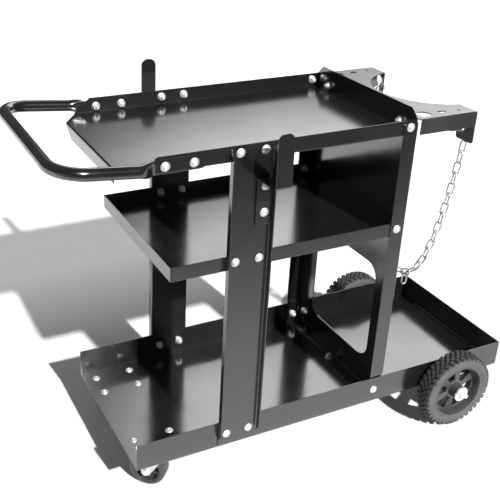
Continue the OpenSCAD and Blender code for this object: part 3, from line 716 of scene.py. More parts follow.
# ---------------------------------------------------------------- handle
def handle():
    rise = math.atan(0.1)
    R, tr, reach = 45.0, 9.5, 116.0
    cy = HW + 11.5
    z1 = TOP_Z + 12.2
    zf = TOP_Z + 10.7
    x1 = 6.0
    run = (x1 + reach) / math.cos(rise)
    st = []          # stations: centre, tangent (in the tilted plane), half width, half height, squareness
    def tilt(u, y):  # u measured back from x1 along the leg
        return (x1 - u * math.cos(rise), y, z1 + u * math.sin(rise))
    pts = []
    # near leg, from the flat end forwards
    def leg(s):
        out = []
        xe = 110.0
        for x in list(np.linspace(xe - 0.15, 99.0, 9)) + [90, 80, 70, 60, 50, 42, 36] + list(np.linspace(32, 0, 17)):
            if x >= 32:
                f = 1.0
            else:
                f = x / 32.0
                f = f * f * (3 - 2 * f)
            hh = 11.0
            if x > 99:
                hh = 11.0 * math.sqrt(max(0.0, 1 - ((x - 99) / 11.0) ** 2))
            hw_ = 1.5 * f + tr * (1 - f)
            hz = hh * f + tr * (1 - f)
            if 0 < f < 1:
                hz += 1.3 * math.sin(math.pi * f)
            yc = (HW + 1.5) * f + cy * (1 - f)
            zc = zf * f + (z1 - 0.1 * (x - x1)) * (1 - f)
            out.append(((x, s * yc, zc), hw_, max(hz, 0.4), f))
        return out
    near = leg(-1)
    far = leg(1)
    def ring(c, side, up, hw_, hz, f, n=28):
        r = []
        for i in range(n):
            a = 2 * math.pi * i / n
            ca, sa = math.cos(a), math.sin(a)
            e = 2.0 / (2.0 + 2.6 * f)
            y = math.copysign(abs(ca) ** e, ca) * hw_
            z = math.copysign(abs(sa) ** e, sa) * hz
            r.append(L(*(Vector(c) + side * y + up * z)))
        return r
    rings = []
    for c, a, b, f in near:
        rings.append(ring(c, Vector((0, -1, 0)), Vector((0, 0, 1)), a, b, f))
    up = Vector((math.sin(rise), 0, math.cos(rise)))
    fw = Vector((-math.cos(rise), 0, math.sin(rise)))
    # straight, bend, crossbar, bend, straight
    def add(c, side):
        rings.append(ring(c, side, up, tr, tr, 0.0))
    for u in np.linspace(10, run - R, 8):
        add(tilt(u, -cy), Vector((0, -1, 0)))
    for i in range(1, 13):
        a = math.pi / 2 * i / 12
        c = Vector(tilt(run - R, -cy + R)) + fw * (R * math.sin(a)) + Vector((0, -1, 0)) * (R * math.cos(a))
        add(c, fw * math.sin(a) + Vector((0, -1, 0)) * math.cos(a))
    for y in np.linspace(-cy + R + 12, cy - R - 12, 9):
        add(tilt(run, y), fw)
    for i in range(0, 13):
        a = math.pi / 2 * (1 - i / 12)
        c = Vector(tilt(run - R, cy - R)) + fw * (R * math.sin(a)) + Vector((0, 1, 0)) * (R * math.cos(a))
        add(c, fw * math.sin(a) + Vector((0, 1, 0)) * math.cos(a))
    for u in np.linspace(run - R - 8, 10, 8):
        add(tilt(u, cy), Vector((0, 1, 0)))
    for c, a, b, f in far[::-1]:
        rings.append(ring(c, Vector((0, 1, 0)), Vector((0, 0, 1)), a, b, f))
    bm = skin(rings)
    finish_piece("handle_tube", bm, M_BLACK, ROOT, ["handle"], 40.0)


handle()


# ---------------------------------------------------------------- fasteners
def islands(name):
    """Separate solids of a CAD node: list of Nx3 arrays, in the row frame."""
    me = frame["nodes"][name].data
    co = np.empty(len(me.vertices) * 3)
    me.vertices.foreach_get("co", co)
    co = co.reshape(-1, 3)
    key = {}
    parent = list(range(len(co)))
    def find(i):
        while parent[i] != i:
            parent[i] = parent[parent[i]]
            i = parent[i]
        return i
    for i, c in enumerate(np.round(co * 1e5).astype(int)):
        t = tuple(c)
        if t in key:
            parent[find(i)] = find(key[t])
        else:
            key[t] = i
    for e in me.edges:
        a, b = find(e.vertices[0]), find(e.vertices[1])
        if a != b:
            parent[a] = b
    groups = {}
    for i in range(len(co)):
        groups.setdefault(find(i), []).append(i)
    return [co[v] for v in groups.values()]


def dome_bm(m4, length, spin):
    """Dome head M6 bolt with a cross recess: head on +z, shank on -z."""
    prof = []
    n = 10
    R = 9.2
    top = 3.8
    for i in range(n + 1):
        r = 7.3 * i / n
        z = math.sqrt(R * R - r * r) - (R - top)
        prof.append((r, z))
    bm = bmesh.new()
    seg = 40
    rings = []
    rec = 2.7
    c = bm.verts.new(m4 @ Vector((0, 0, top - 1.5)))
    for r, z in prof[1:]:
        ring = []
        for k in range(seg):
            a = 2 * math.pi * k / seg
            # cross recess: lowered near the two slot lines
            b = a - spin
            q = min(abs(math.sin(b)), abs(math.cos(b))) * r
            dz = 0.0
            if r < rec and q < 0.62:
                dz = -1.5 * (1 - r / rec * 0.35)
            ring.append(bm.verts.new(m4 @ Vector((r * math.cos(a), r * math.sin(a), z + dz))))
        rings.append(ring)
    for r, z in ((7.4, 0.1), (7.3, 0.0), (3.0, 0.0)):
        rings.append([bm.verts.new(m4 @ Vector((r * math.cos(2 * math.pi * k / seg), r * math.sin(2 * math.pi * k / seg), z))) for k in range(seg)])
    # threaded shank
    z = -4.0
    turns = []
    rings.append([bm.verts.new(m4 @ Vector((3.0 * math.cos(2 * math.pi * k / seg), 3.0 * math.sin(2 * math.pi * k / seg), z))) for k in range(seg)])
    while z > -length + 1.0:
        z -= 0.5
        rr = 2.95 if len(turns) % 2 == 0 else 2.45
        turns.append(z)
        rings.append([bm.verts.new(m4 @ Vector((rr * math.cos(2 * math.pi * k / seg), rr * math.sin(2 * math.pi * k / seg), z - 0.5 * (k / seg if False else 0)))) for k in range(seg)])
    rings.append([bm.verts.new(m4 @ Vector((2.3 * math.cos(2 * math.pi * k / seg), 2.3 * math.sin(2 * math.pi * k / seg), -length))) for k in range(seg)])
    e = bm.verts.new(m4 @ Vector((0, 0, -length)))
    for k in range(seg):
        j = (k + 1) % seg
        bm.faces.new((c, rings[0][k], rings[0][j]))
        for a, b in zip(rings, rings[1:]):
            bm.faces.new((a[k], b[k], b[j], a[j]))
        bm.faces.new((e, rings[-1][j], rings[-1][k]))
    return bm


def nut_bm(m4, spin, h=6.0, flange=True):
    """Flange nut, serrations not modelled: the flange face is at z = 0, the body on -z."""
    bm = bmesh.new()
    seg = 48
    def hexr(a, f):
        b = (a - spin) % (math.pi / 3) - math.pi / 6
        return 5.0 / math.cos(b) * (1 - f) + 5.0 * f
    rings = []
    def add(fn, z):
        rings.append([bm.verts.new(m4 @ Vector((fn(2 * math.pi * k / seg) * math.cos(2 * math.pi * k / seg), fn(2 * math.pi * k / seg) * math.sin(2 * math.pi * k / seg), z))) for k in range(seg)])
    add(lambda a: 3.12, 0.0)
    add(lambda a: 6.9 if flange else 5.2, 0.0)
    add(lambda a: 7.0 if flange else 5.2, -0.3)
    if flange:
        add(lambda a: 7.0, -0.9)
        add(lambda a: 6.6, -1.3)
        add(lambda a: max(hexr(a, 0) + 0.1, 5.5), -1.7)
    add(lambda a: hexr(a, 0), -2.0)
    add(lambda a: hexr(a, 0), -h + 0.6)
    add(lambda a: min(hexr(a, 0), 5.45), -h + 0.1)
    add(lambda a: 5.0, -h)
    add(lambda a: 3.4, -h)
    add(lambda a: 3.12, -h + 0.3)
    m = len(rings)
    for i in range(m):
        a, b = rings[i], rings[(i + 1) % m]
        for k in range(seg):
            j = (k + 1) % seg
            bm.faces.new((a[k], b[k], b[j], a[j]))
    return bm


def axes_for(d):
    z = Vector(d).normalized()
    x = Vector((1, 0, 0)) if abs(z.x) < 0.8 else Vector((0, 1, 0))
    y = z.cross(x).normalized()
    x = y.cross(z)
    return x, y, z


def place_fasteners(nodename, kind, axis_of, body=ROOT):
    """One object per node: a detailed copy of each solid. axis_of(centre) is the outward axis, +z of the copy."""
    parts = []
    for pts in islands(nodename):
        lo, hi = pts.min(0), pts.max(0)
        c = (lo + hi) / 2
        d = Vector(axis_of(c))
        x, y, z = axes_for(d)
        s = pts @ np.array(d)
        m = Matrix.Identity(4)
        for col, v in enumerate((x, y, z)):
            for r in range(3):
                m[r][col] = v[r] * 0.001
        cc = Vector(c)
        cc -= d * cc.dot(d)
        length = (s.max() - s.min()) * 1000
        if kind == "bolt":
            m.translation = cc + d * (s.max() - 0.0038)
            parts.append(dome_bm(m, length - 3.8, random.uniform(0, math.pi)))
        else:
            m.translation = cc + d * s.max()
            parts.append(nut_bm(m, random.uniform(0, math.pi), length))
    bm = merge(parts)
    finish_piece(nodename + "_detail", bm, M_ZINC, body, [nodename], 35.0, False)


def out_y(c):
    return (0, -1, 0) if c[1] < 0 else (0, 1, 0)


def panel_axis(c):
    return (0, 0, -1) if abs(c[1]) < 0.05 else out_y(c)


place_fasteners("post_bolts", "bolt", out_y)
place_fasteners("post_nuts", "nut", out_y)
place_fasteners("hook_bolts", "bolt", out_y)
place_fasteners("hook_nuts", "nut", out_y)
place_fasteners("panel_bolts", "bolt", panel_axis)
place_fasteners("panel_nuts", "nut", panel_axis)
place_fasteners("bracket_bolts", "bolt", lambda c: (1, 0, 0))
place_fasteners("bracket_nuts", "nut", lambda c: (1, 0, 0))
place_fasteners("handle_bolts", "bolt", out_y)
place_fasteners("handle_nuts", "nut", out_y)
place_fasteners("caster_bolts", "bolt", lambda c: (0, 0, 1))
place_fasteners("caster_nuts", "nut", lambda c: (0, 0, 1))


# ---------------------------------------------------------------- chain
def link_bm(pts, wire=1.5):
    """A welded link through the same place as a CAD link."""
    c = (pts.max(0) + pts.min(0)) / 2
    q = pts - pts.mean(0)
    w, v = np.linalg.eigh(q.T @ q)
    d, s = Vector(v[:, 2]), Vector(v[:, 1])
    n = d.cross(s)
    ext = q @ v[:, 2]
    hl = (ext.max() - ext.min()) / 2 * 1000 - wire
    ext = q @ v[:, 1]
    hw_ = (ext.max() - ext.min()) / 2 * 1000 - wire
    st = hl - hw_
    c = Vector(c)
    path = []
    k = 12
    for i in range(k + 1):
        a = -math.pi / 2 + math.pi * i / k
        path.append((st + hw_ * math.cos(a), hw_ * math.sin(a), math.cos(a), math.sin(a), wire))
    for x in (st * 0.4, st * 0.12, 0.0, -st * 0.12, -st * 0.4):
        path.append((x, hw_, 0.0, 1.0, wire * (1.13 if abs(x) < st * 0.2 else 1.0)))
    for i in range(k + 1):
        a = math.pi / 2 + math.pi * i / k
        path.append((-st + hw_ * math.cos(a), hw_ * math.sin(a), math.cos(a), math.sin(a), wire))
    for x in (-st * 0.4, st * 0.4):
        path.append((x, -hw_, 0.0, -1.0, wire))
    rings = []
    for x, y, ox, oy, r in path:
        ring = []
        for j in range(12):
            a = 2 * math.pi * j / 12
            ring.append(c + (d * (x + ox * r * math.cos(a)) + s * (y + oy * r * math.cos(a)) + n * (r * math.sin(a))) * 0.001)
        rings.append(ring)
    return skin(rings, loop=True)


def chain_piece(name, nodename, body):
    bm = merge([link_bm(p) for p in islands(nodename)])
    finish_piece(name, bm, M_CHAIN, body, [nodename], 60.0, False)


chain_piece("chain_links", "chain", "hanging_chain")
chain_piece("chain_end_links", "chain_ends", ROOT)


# ---------------------------------------------------------------- rear wheels
TYRE_R, TYRE_W = 75.0, 35.0


def wheel_frame(s):
    lo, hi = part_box("tyre_near" if s < 0 else "tyre_far")
    x = (lo.x + hi.x) / 2
    z = (lo.z + hi.z) / 2
    inner = hi.y if s < 0 else lo.y
    m = Matrix.Identity(4)
    cols = (Vector((1, 0, 0)), Vector((0, 0, 1)) if s < 0 else Vector((0, 0, 1)), Vector((0, s, 0)))
    for c, v in enumerate(cols):
        for r in range(3):
            m[r][c] = v[r] * 0.001
    m.translation = Vector((x, inner, z))
    return m


def tyre(s):
    side_name = "near" if s < 0 else "far"
    body = "rear_wheel_" + side_name
    m = wheel_frame(s)
    W = TYRE_W
    prof = []
    half = [(54.2, 2.2), (54.6, 1.2), (56.0, 0.9), (57.2, 1.5), (58.2, 1.5), (59.4, 0.55), (62.0, 0.15), (65.0, 0.2), (67.6, 1.1), (69.4, 2.8),
            (70.5, 5.2), (71.0, 8.5), (71.2, 12.0), (71.3, 17.5)]
    prof = half + [(r, W - z) for r, z in half[-2::-1]]
    prof += [(54.2, W - 2.2 - 4), (54.2, 6.2)]
    parts = [lathe(prof, 144, m)]
    # tread blocks: shoulder lugs wrap over the edge, centre lugs are staggered
    N = 38
    def lug(a0, wa, z0, z1, r0, r1, skew, shoulder):
        bmx = bmesh.new()
        na, nz = 3, 3
        grid = {}
        for i in range(na + 1):
            for j in range(nz + 1):
                fa, fz = i / na, j / nz
                z = z0 + (z1 - z0) * fz
                a = a0 + (fa - 0.5) * wa + skew * (fz - 0.5)
                edge = min(fa, 1 - fa, fz, 1 - fz) < 1e-6
                r = r1 - (0.35 if edge else 0.0)
                if shoulder:
                    u = (z0 if shoulder < 0 else z1)
                    dist = abs(z - u)
                    if dist < 6:
                        r -= (1 - dist / 6) ** 2 * 1.5
                grid[i, j, 1] = bmx.verts.new(m @ Vector((r * math.cos(a), r * math.sin(a), z)))
        for i in range(na + 1):
            for j in range(nz + 1):
                if min(i, na - i, j, nz - j) == 0:
                    fa, fz = i / na, j / nz
                    z = z0 - 0.35 + (z1 - z0 + 0.7) * fz
                    a = a0 + (fa - 0.5) * (wa * 1.12) + skew * (fz - 0.5)
                    rr = r0
                    if shoulder:
                        u = (z0 if shoulder < 0 else z1)
                        if abs(z - u) < 2.5:
                            rr = r0 - 3.2
                    grid[i, j, 0] = bmx.verts.new(m @ Vector((rr * math.cos(a), rr * math.sin(a), z)))
        for i in range(na):
            for j in range(nz):
                bmx.faces.new((grid[i, j, 1], grid[i + 1, j, 1], grid[i + 1, j + 1, 1], grid[i, j + 1, 1]))
        loop = [(i, 0) for i in range(na)] + [(na, j) for j in range(nz)] + [(i, nz) for i in range(na, 0, -1)] + [(0, j) for j in range(nz, 0, -1)]
        for p, q in zip(loop, loop[1:] + loop[:1]):
            bmx.faces.new((grid[p[0], p[1], 0], grid[q[0], q[1], 0], grid[q[0], q[1], 1], grid[p[0], p[1], 1]))
        bmx.faces.new([grid[p[0], p[1], 0] for p in loop][::-1])
        return bmx
    step = 2 * math.pi / N
    for i in range(N):
        a = i * step
        parts.append(lug(a, step * 0.66, 0.9, 10.6, 69.6, 75.0, 0.03, -1))
        parts.append(lug(a + step / 2, step * 0.66, W - 10.6, W - 0.9, 69.6, 75.0, -0.03, 1))
        parts.append(lug(a + step / 2, step * 0.6, 12.2, 16.9, 70.2, 75.0, 0.02, 0))
        parts.append(lug(a, step * 0.6, W - 16.9, W - 12.2, 70.2, 75.0, -0.02, 0))
    bm = merge(parts)
    finish_piece("tyre_%s_tread" % side_name, bm, M_TYRE, body, ["tyre_" + side_name], 42.0)


def rim(s):
    side_name = "near" if s < 0 else "far"
    body = "rear_wheel_" + side_name
    m = wheel_frame(s)
    W = TYRE_W
    # barrel with a rolled lip on each edge
    barrel = [(55.2, 5.5), (55.2, 2.2), (54.6, 0.9), (53.0, 0.4), (51.6, 0.9), (50.9, 2.4), (50.4, 6.0), (48.4, 10.0), (48.0, 15.0), (48.2, 20.0),
              (49.4, W - 6.0), (50.2, W - 2.6), (51.0, W - 0.9), (52.6, W - 0.2), (54.2, W - 0.7), (55.2, W - 2.2), (55.2, W - 5.5)]
    parts = [lathe(barrel, 120, m)]
    # hub boss with a stepped nose
    hub = [(9.0, -0.2), (13.6, -0.2), (14.4, 0.6), (14.6, 8.0), (15.6, 10.5), (15.6, 17.0), (14.4, 20.0), (13.8, W + 1.0), (13.0, W + 2.6), (11.8, W + 3.2), (9.0, W + 3.2)]
    parts.append(lathe(hub, 72, m))
    # dished disc with six wedge windows
    outer = circle(0, 0, 49.2, 120)
    holes = [circle(0, 0, 12.5, 48)[::1]]
    for i in range(6):
        a = math.radians(52 + 60 * i)
        r0, r1 = 19.5, 45.0
        pts = []
        w0, w1 = math.radians(15.0), math.radians(18.5)
        for k in range(13):
            b = -w1 + 2 * w1 * k / 12
            pts.append((r1 * math.cos(a + b), r1 * math.sin(a + b)))
        for k in range(7):
            b = w0 - 2 * w0 * k / 6
            pts.append((r0 * math.cos(a + b), r0 * math.sin(a + b)))
        holes.append(pts)
    disc = plate(outer, holes, 4.2, 0.7)
    for v in disc.verts:
        r = math.hypot(v.co.x, v.co.y)
        z = 16.0 + (49 - r) / 37 * 4.0 + v.co.z
        v.co = m @ Vector((v.co.x, v.co.y, z))
    parts.append(disc)
    # stiffening ribs behind each spoke
    for i in range(6):
        a = math.radians(82 + 60 * i)
        d = Vector((math.cos(a), math.sin(a), 0))
        e = Vector((-d.y, d.x, 0))
        for off in (-3.2, 3.2):
            rib = bmesh.new()
            vs = []
            for r, z0, z1 in ((14.0, 3.0, 18.5), (30.0, 6.5, 16.6), (48.6, 8.0, 15.2)):
                for w in (-0.8, 0.8):
                    for z in (z0, z1):
                        vs.append(rib.verts.new(m @ (d * r + e * (off * (0.7 + r / 60) + w) + Vector((0, 0, z)))))
            for k in range(2):
                b = k * 4
                a0, a1, b0, b1 = vs[b], vs[b + 1], vs[b + 2], vs[b + 3]
                c0, c1, d0, d1 = vs[b + 4], vs[b + 5], vs[b + 6], vs[b + 7]
                for f in ((a0, a1, c1, c0), (b0, d0, d1, b1), (a1, b1, d1, c1), (a0, c0, d0, b0)):
                    rib.faces.new(f)
            rib.faces.new((vs[0], vs[2], vs[3], vs[1]))
            rib.faces.new((vs[8], vs[9], vs[11], vs[10]))
            parts.append(rib)
    bm = merge(parts)
    finish_piece("rim_%s_moulding" % side_name, bm, M_RIM, body, ["rim_" + side_name], 38.0)


for s in (-1, 1):
    tyre(s)
    rim(s)


# ---------------------------------------------------------------- casters
def caster_wheel(side_name):
    body = "caster_%s_wheel" % side_name
    j = next(j for j in frame["joints"] if j["name"] == "caster_%s_roll" % side_name)
    ax = Vector(j["axis"]).normalized()
    up = Vector((0, 0, 1))
    fw = ax.cross(up).normalized()
    m = Matrix.Identity(4)
    for c, v in enumerate((fw, up, ax)):
        for r in range(3):
            m[r][c] = v[r] * 0.001
    m.translation = Vector(j["pos_m"])
    h = 16.0
    half = [(24.2, h - 0.8), (24.8, h - 0.2), (26.6, h), (28.6, h - 0.5), (30.4, h - 1.7), (31.6, h - 3.8), (32.3, h - 7.0), (32.6, 3.0)]
    prof = half + [(r, -z) for r, z in half[::-1]]
    bm = lathe(prof, 96, m)
    finish_piece("caster_tread_%s_ring" % side_name, bm, M_TREAD, body, ["caster_tread_" + side_name], 45.0)
    parts = []
    hh = [(5.08, h), (8.2, h), (8.9, h - 0.6), (9.4, 5.6), (19.5, 4.4), (21.0, 5.4), (21.8, h - 2.4), (22.4, h - 1.4), (24.25, h - 1.4)]
    prof = hh + [(r, -z) for r, z in hh[::-1]]
    parts.append(lathe(prof, 72, m))
    for k in range(6):
        a = math.radians(60 * k + 15)
        d = Vector((math.cos(a), math.sin(a), 0))
        e = Vector((-d.y, d.x, 0))
        for sgn in (-1, 1):
            rib = bmesh.new()
            v = []
            for r, zt in ((8.0, h - 2.2), (22.2, h - 4.0)):
                for w in (-0.8, 0.8):
                    for z in (4.0, zt):
                        v.append(rib.verts.new(m @ (d * r + e * w + Vector((0, 0, sgn * z)))))
            for f in ((0, 1, 5, 4), (2, 6, 7, 3), (1, 3, 7, 5), (0, 4, 6, 2), (0, 2, 3, 1), (4, 5, 7, 6)):
                rib.faces.new([v[i] for i in f])
            parts.append(rib)
    bm = merge(parts)
    finish_piece("caster_hub_%s_moulding" % side_name, bm, M_HUB, body, ["caster_hub_" + side_name], 38.0)


def caster_fork(side_name, swivel):
    body = "caster_%s_fork" % side_name
    s = -1 if side_name == "near" else 1
    a = math.radians(swivel)
    fx, fy = Vector((math.cos(a), math.sin(a), 0)), Vector((-math.sin(a), math.cos(a), 0))
    m = frame4((CX, s * CY, 0), fx, fy, Vector((0, 0, 1)))
    trail, az, half = 13.0, -81 + 32.6, 16.0 + 1.2
    parts = []
    # crown: pressed cup over the ball race
    crown = [(5.12, -9.4), (12.2, -9.4), (12.6, -9.8), (17.4, -9.8), (17.8, -9.4), (20.6, -9.4), (21.6, -9.9), (22.0, -11.2), (22.0, -13.2), (21.6, -13.6), (5.12, -13.6)]
    parts.append(lathe(crown, 72, m))
    # folded yoke: a strip with both legs bent down, narrowing to the axle eye
    t, ri = 2.5, 1.5
    ro, al = ri + t, hp(90) * (ri + t / 2)
    kv = half + t - ro
    top_z = -11.1
    def leg(sg):
        c = (trail, sg * (kv + al + (top_z - az) - ro))
        lo = [(-19.0, sg * kv), (-19.0, sg * (kv + al + 2.0)), (-12.0, sg * (kv + al + 9.0))]
        eye = circle(c[0], c[1], 8.8, 20, 200, 350) if sg > 0 else circle(c[0], c[1], 8.8, 20, 160, 10)
        eye = circle(c[0], c[1], 8.8, 22, 170, 10) if sg > 0 else circle(c[0], c[1], 8.8, 22, 190, 350)
        hi = [(23.0, sg * (kv + al + 7.0)), (20.0, sg * (kv + al + 1.0)), (20.0, sg * kv)]
        return lo + eye + hi, c
    pu, cu = leg(1)
    pd, cd = leg(-1)
    o = pd + pu[::-1]
    holes = [circle(cu[0], cu[1], 3.15, 24), circle(cd[0], cd[1], 3.15, 24), circle(0, 0, 8.0, 36)]
    bm = plate(o, holes, t, 0.5)
    folds = [(1, -1, -kv, -90, ri, yes), (1, 1, kv, -90, ri, yes)]
    for ax_, sg, pos, deg, r_, p in folds:
        fold_cuts(bm, ax_, sg, pos, math.radians(deg), r_, t)
    bm.verts.ensure_lookup_table()
    F = np.array([v.co[:] for v in bm.verts])
    P = F.copy()
    for ax_, sg, pos, deg, r_, p in folds:
        apply_fold(P, F, ax_, sg, pos, math.radians(deg), r_, t, p)
    for v, p in zip(bm.verts, P):
        v.co = m @ Vector((p[0], p[1], p[2] + top_z - t / 2))
    parts.append(bm)
    bm = merge(parts)
    finish_piece("caster_fork_%s_pressing" % side_name, bm, M_FORK, body, ["caster_fork_" + side_name], 45.0)
    # axle bolt with a washer face, hex head and nut
    parts = []
    for sg, h in ((1, 4.0), (-1, 5.5)):
        b = bmesh.new()
        seg = 48
        rings = []
        def hexr(x):
            y = x % (math.pi / 3) - math.pi / 6
            return 5.0 / math.cos(y)
        base = half + t
        for fn, z in ((lambda x: 0.01, base), (lambda x: 5.3, base), (lambda x: 5.4, base + 0.4), (hexr, base + 0.5), (hexr, base + h - 0.6),
                      (lambda x: min(hexr(x), 5.35), base + h - 0.1), (lambda x: 4.9, base + h), (lambda x: 0.01, base + h)):
            rings.append([b.verts.new(m @ Vector((trail + fn(2 * math.pi * k / seg) * math.cos(2 * math.pi * k / seg), sg * z, az + fn(2 * math.pi * k / seg) * math.sin(2 * math.pi * k / seg)))) for k in range(seg)])
        for p, q in zip(rings, rings[1:]):
            for k in range(seg):
                jn = (k + 1) % seg
                b.faces.new((p[k], p[jn], q[jn], q[k]))
        bmesh.ops.remove_doubles(b, verts=b.verts, dist=3e-5)
        parts.append(b)
    shank = lathe([(0.01, -half - t - 7.0), (2.4, -half - t - 7.0), (2.95, -half - t - 6.4), (2.95, half + t), (0.01, half + t)], 32, m @ Matrix.Translation(Vector((trail, 0, az))) @ Matrix.Rotation(math.radians(-90), 4, "X"))
    parts.append(shank)
    bm = merge(parts)
    finish_piece("caster_axle_%s_bolt" % side_name, bm, M_ZINC, body, ["caster_axle_" + side_name], 35.0, False)


def caster_plate(side_name):
    s = -1 if side_name == "near" else 1
    m = frame4((CX, s * CY, 0), Vector((1, 0, 0)), Vector((0, 1, 0)), Vector((0, 0, 1)))
    o = []
    for sx, sy, a0 in ((1, -1, -90), (1, 1, 0), (-1, 1, 90), (-1, -1, 180)):
        o += circle(sx * (42 - 8), sy * (31 - 8), 8, 8, a0, a0 + 90)
    holes = []
    for i in (-1, 1):
        for j in (-1, 1):
            holes.append(circle(i * CBX + 3, j * CBY, 3.3, 10, -90, 90) + circle(i * CBX - 3, j * CBY, 3.3, 10, 90, 270))
    holes.append(circle(0, 0, 6.0, 36))
    bm = plate(o, holes, 2.5, 0.4)
    for v in bm.verts:
        r = math.hypot(v.co.x, v.co.y)
        v.co = m @ Vector((v.co.x, v.co.y, v.co.z - 1.25))
    race = lathe([(5.1, -2.4), (19.4, -2.4), (20.0, -2.9), (20.0, -4.5), (19.5, -5.0), (17.5, -5.0), (17.1, -4.7), (12.9, -4.7), (12.5, -5.0), (5.1, -5.0)], 72, m)
    finish_piece("caster_plate_%s_pressing" % side_name, merge([bm, race]), M_FORK, ROOT, ["caster_plate_" + side_name], 40.0)


for nm, sw in (("near", 137.0), ("far", 118.0)):
    caster_wheel(nm)
    caster_fork(nm, sw)
    caster_plate(nm)

# The remaining CAD nodes stay; they get a weld modifier and flat shading
for name, o in frame["nodes"].items():
    if o.hide_render:
        continue
    w = o.modifiers.new("merge", "WELD")
    w.merge_threshold = 1e-6
    me = o.data
    me.polygons.foreach_set("use_smooth", [False] * len(me.polygons))

# ---------------------------------------------------------------- stage
def stage_plane():
    bm = bmesh.new()
    n = 60
    x0, x1, y0, y1 = -6.0, 6.0, -5.0, 7.0
    vs = [[bm.verts.new((x0 + (x1 - x0) * i / n, y0 + (y1 - y0) * j / n, -0.0006)) for i in range(n + 1)] for j in range(n + 1)]
    for j in range(n):
        for i in range(n):
            bm.faces.new((vs[j][i], vs[j][i + 1], vs[j + 1][i + 1], vs[j + 1][i]))
    me = bpy.data.meshes.new("studio_floor")
    bm.to_mesh(me)
    bm.free()
    o = bpy.data.objects.new("studio_floor", me)
    scene.collection.objects.link(o)
    m, nt, b = new_mat("pale_floor")
    c = coords(nt)
    sep = node(nt, "ShaderNodeSeparateXYZ")
    nt.links.new(c, sep.inputs[0])
    g = remap(nt, sep.outputs["Y"], -1.35, -0.85, 0.0, 1.0)
    grain = noise(nt, c, 2.0, 3.0)
    g = mathn(nt, "MULTIPLY", g, remap(nt, grain, 0.3, 0.7, 0.985, 1.0))
    col = ramp(nt, g, [(0.0, (0.86, 0.86, 0.86)), (1.0, (0.88, 0.88, 0.88))])
    # Painted light: the floor glows more towards the far side (emission ramp along y), so the far part of the cast
    # shadow is painted lighter than the near part.
    lift = ramp(nt, remap(nt, sep.outputs["Y"], -0.1, 0.9, 0.0, 1.0), [(0.0, (0.0, 0.0, 0.0)), (0.45, (0.05, 0.05, 0.05)), (0.8, (0.34, 0.34, 0.34))])
    nt.links.new(lift, b.inputs["Emission Color"])
    b.inputs["Emission Strength"].default_value = 1.0
    nt.links.new(col, b.inputs["Base Color"])
    b.inputs["Roughness"].default_value = 0.9
    b.inputs["Specular IOR Level"].default_value = 0.0
    me.materials.append(m)


stage_plane()


def reflector():
    """Lit card beyond the far side, seen only as a reflection in the trays."""
    me = bpy.data.meshes.new("reflector_card")
    me.from_pydata([(0.0, 1.6, 0.35), (3.6, 1.6, 0.35), (3.6, 1.6, 2.6), (0.0, 1.6, 2.6)], [], [(0, 3, 2, 1)])
    o = bpy.data.objects.new("reflector_card", me)
    scene.collection.objects.link(o)
    m, nt, b = new_mat("reflector_light")
    c = coords(nt)
    sep = node(nt, "ShaderNodeSeparateXYZ")
    nt.links.new(c, sep.inputs[0])
    z = remap(nt, sep.outputs["Z"], 0.6, 2.1, 0.0, 1.0)
    z = mathn(nt, "ADD", z, mathn(nt, "MULTIPLY", mathn(nt, "SUBTRACT", noise(nt, c, 2.4, 3.0), 0.5), 0.10))
    e = ramp(nt, z, [(0.0, (0.02,) * 3), (0.2, (0.07,) * 3), (0.33, (0.17,) * 3), (0.43, (0.5,) * 3), (0.5, (1.0,) * 3), (0.9, (1.0,) * 3)])
    fade = remap(nt, sep.outputs["X"], 0.0, 0.6, 0.1, 1.0)
    b.inputs["Base Color"].default_value = (0.0, 0.0, 0.0, 1.0)
    b.inputs["Specular IOR Level"].default_value = 0.0
    nt.links.new(e, b.inputs["Emission Color"])
    nt.links.new(mathn(nt, "MULTIPLY", fade, 3.0), b.inputs["Emission Strength"])
    me.materials.append(m)
    o.visible_camera = False
    o.visible_diffuse = False
    o.visible_shadow = False
    o.visible_transmission = False


reflector()


def near_card():
    """Keeps the upright faces dark: stands in for the floor on the near side, in reflections only."""
    me = bpy.data.meshes.new("near_card")
    me.from_pydata([(-4.0, -5.0, 0.001), (5.0, -5.0, 0.001), (5.0, -0.235, 0.001), (-4.0, -0.235, 0.001)], [], [(0, 1, 2, 3)])
    o = bpy.data.objects.new("near_card", me)
    scene.collection.objects.link(o)
    m, nt, b = new_mat("near_card_grey")
    c = coords(nt)
    sep = node(nt, "ShaderNodeSeparateXYZ")
    nt.links.new(c, sep.inputs[0])
    e = ramp(nt, remap(nt, sep.outputs["Y"], -1.4, -0.2, 0.0, 1.0), [(0.0, (0.10,) * 3), (0.35, (0.3,) * 3), (0.8, (0.85,) * 3), (1.0, (1.0,) * 3)])
    b.inputs["Base Color"].default_value = (0.0, 0.0, 0.0, 1.0)
    b.inputs["Specular IOR Level"].default_value = 0.0
    nt.links.new(e, b.inputs["Emission Color"])
    b.inputs["Emission Strength"].default_value = 1.0
    me.materials.append(m)
    o.visible_camera = False
    o.visible_diffuse = False
    o.visible_shadow = False
    o.visible_transmission = False


near_card()

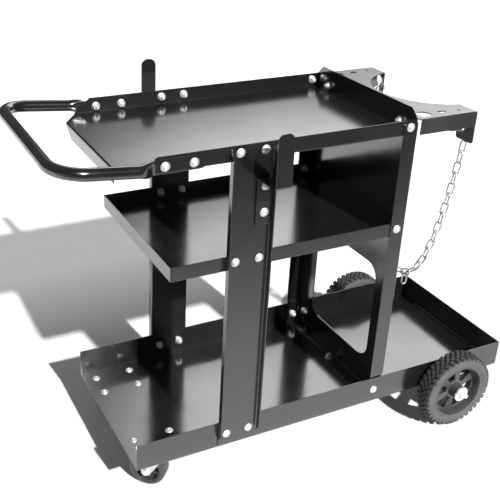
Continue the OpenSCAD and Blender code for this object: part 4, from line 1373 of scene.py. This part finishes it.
world = bpy.data.worlds.new("studio")
scene.world = world
world.use_nodes = True
wn = world.node_tree
wn.nodes.clear()
tc = wn.nodes.new("ShaderNodeTexCoord")
sep = wn.nodes.new("ShaderNodeSeparateXYZ")
wn.links.new(tc.outputs["Generated"], sep.inputs[0])
gy = remap(wn, sep.outputs["Y"], -0.2, 0.6, 0.06, 0.14)
env = mathn(wn, "ADD", gy, 0.0)
lp = wn.nodes.new("ShaderNodeLightPath")
dif = mathn(wn, "MULTIPLY", lp.outputs["Is Diffuse Ray"], 1.0)
glo = wn.nodes.new("ShaderNodeBackground")
wn.links.new(env, glo.inputs["Strength"])
cam_bg = wn.nodes.new("ShaderNodeBackground")
cam_bg.inputs["Strength"].default_value = 1.15
dif_bg = wn.nodes.new("ShaderNodeBackground")
dif_bg.inputs["Strength"].default_value = 0.16
mix1 = wn.nodes.new("ShaderNodeMixShader")
wn.links.new(lp.outputs["Is Camera Ray"], mix1.inputs[0])
wn.links.new(glo.outputs[0], mix1.inputs[1])
wn.links.new(cam_bg.outputs[0], mix1.inputs[2])
mix2 = wn.nodes.new("ShaderNodeMixShader")
wn.links.new(dif, mix2.inputs[0])
wn.links.new(mix1.outputs[0], mix2.inputs[1])
wn.links.new(dif_bg.outputs[0], mix2.inputs[2])
wo = wn.nodes.new("ShaderNodeOutputWorld")
wn.links.new(mix2.outputs[0], wo.inputs[0])

# Key: a soft sun from the near side, about 40 degrees up
sun = bpy.data.lights.new("key", "SUN")
sun.energy = 5.8
sun.angle = math.radians(1.6)
so = bpy.data.objects.new("key", sun)
scene.collection.objects.link(so)
so.rotation_euler = Vector((-0.14, 1.3, -1.0)).to_track_quat("-Z", "Y").to_euler()


# ---------------------------------------------------------------- camera
az, el, roll = math.radians(-25.84), math.radians(25.21), math.radians(1.54)
fwd = Vector((-math.sin(az) * math.cos(el), math.cos(az) * math.cos(el), -math.sin(el)))
right = Vector((math.cos(az), math.sin(az), 0))
upv = right.cross(fwd)
r2 = right * math.cos(roll) + upv * math.sin(roll)
u2 = -right * math.sin(roll) + upv * math.cos(roll)
cam = bpy.data.cameras.new("photo_camera")
cam.sensor_width = 36.0
cam.sensor_fit = "HORIZONTAL"
cam.lens = 842.87 * 36.0 / 500.0
cam.shift_x = (250.0 - 194.12) / 500.0
cam.shift_y = (215.84 - 244.5) / 500.0
cam.clip_start = 0.05
cam.clip_end = 60.0
co = bpy.data.objects.new("photo_camera", cam)
scene.collection.objects.link(co)
cm = Matrix.Identity(4)
for c, v in enumerate((r2, u2, -fwd)):
    for r in range(3):
        cm[r][c] = v[r]
cm.translation = L(-393.4, -1148.1, 972.7)
co.matrix_world = cm
scene.camera = co

scene.view_settings.view_transform = "Standard"
scene.view_settings.look = "None"
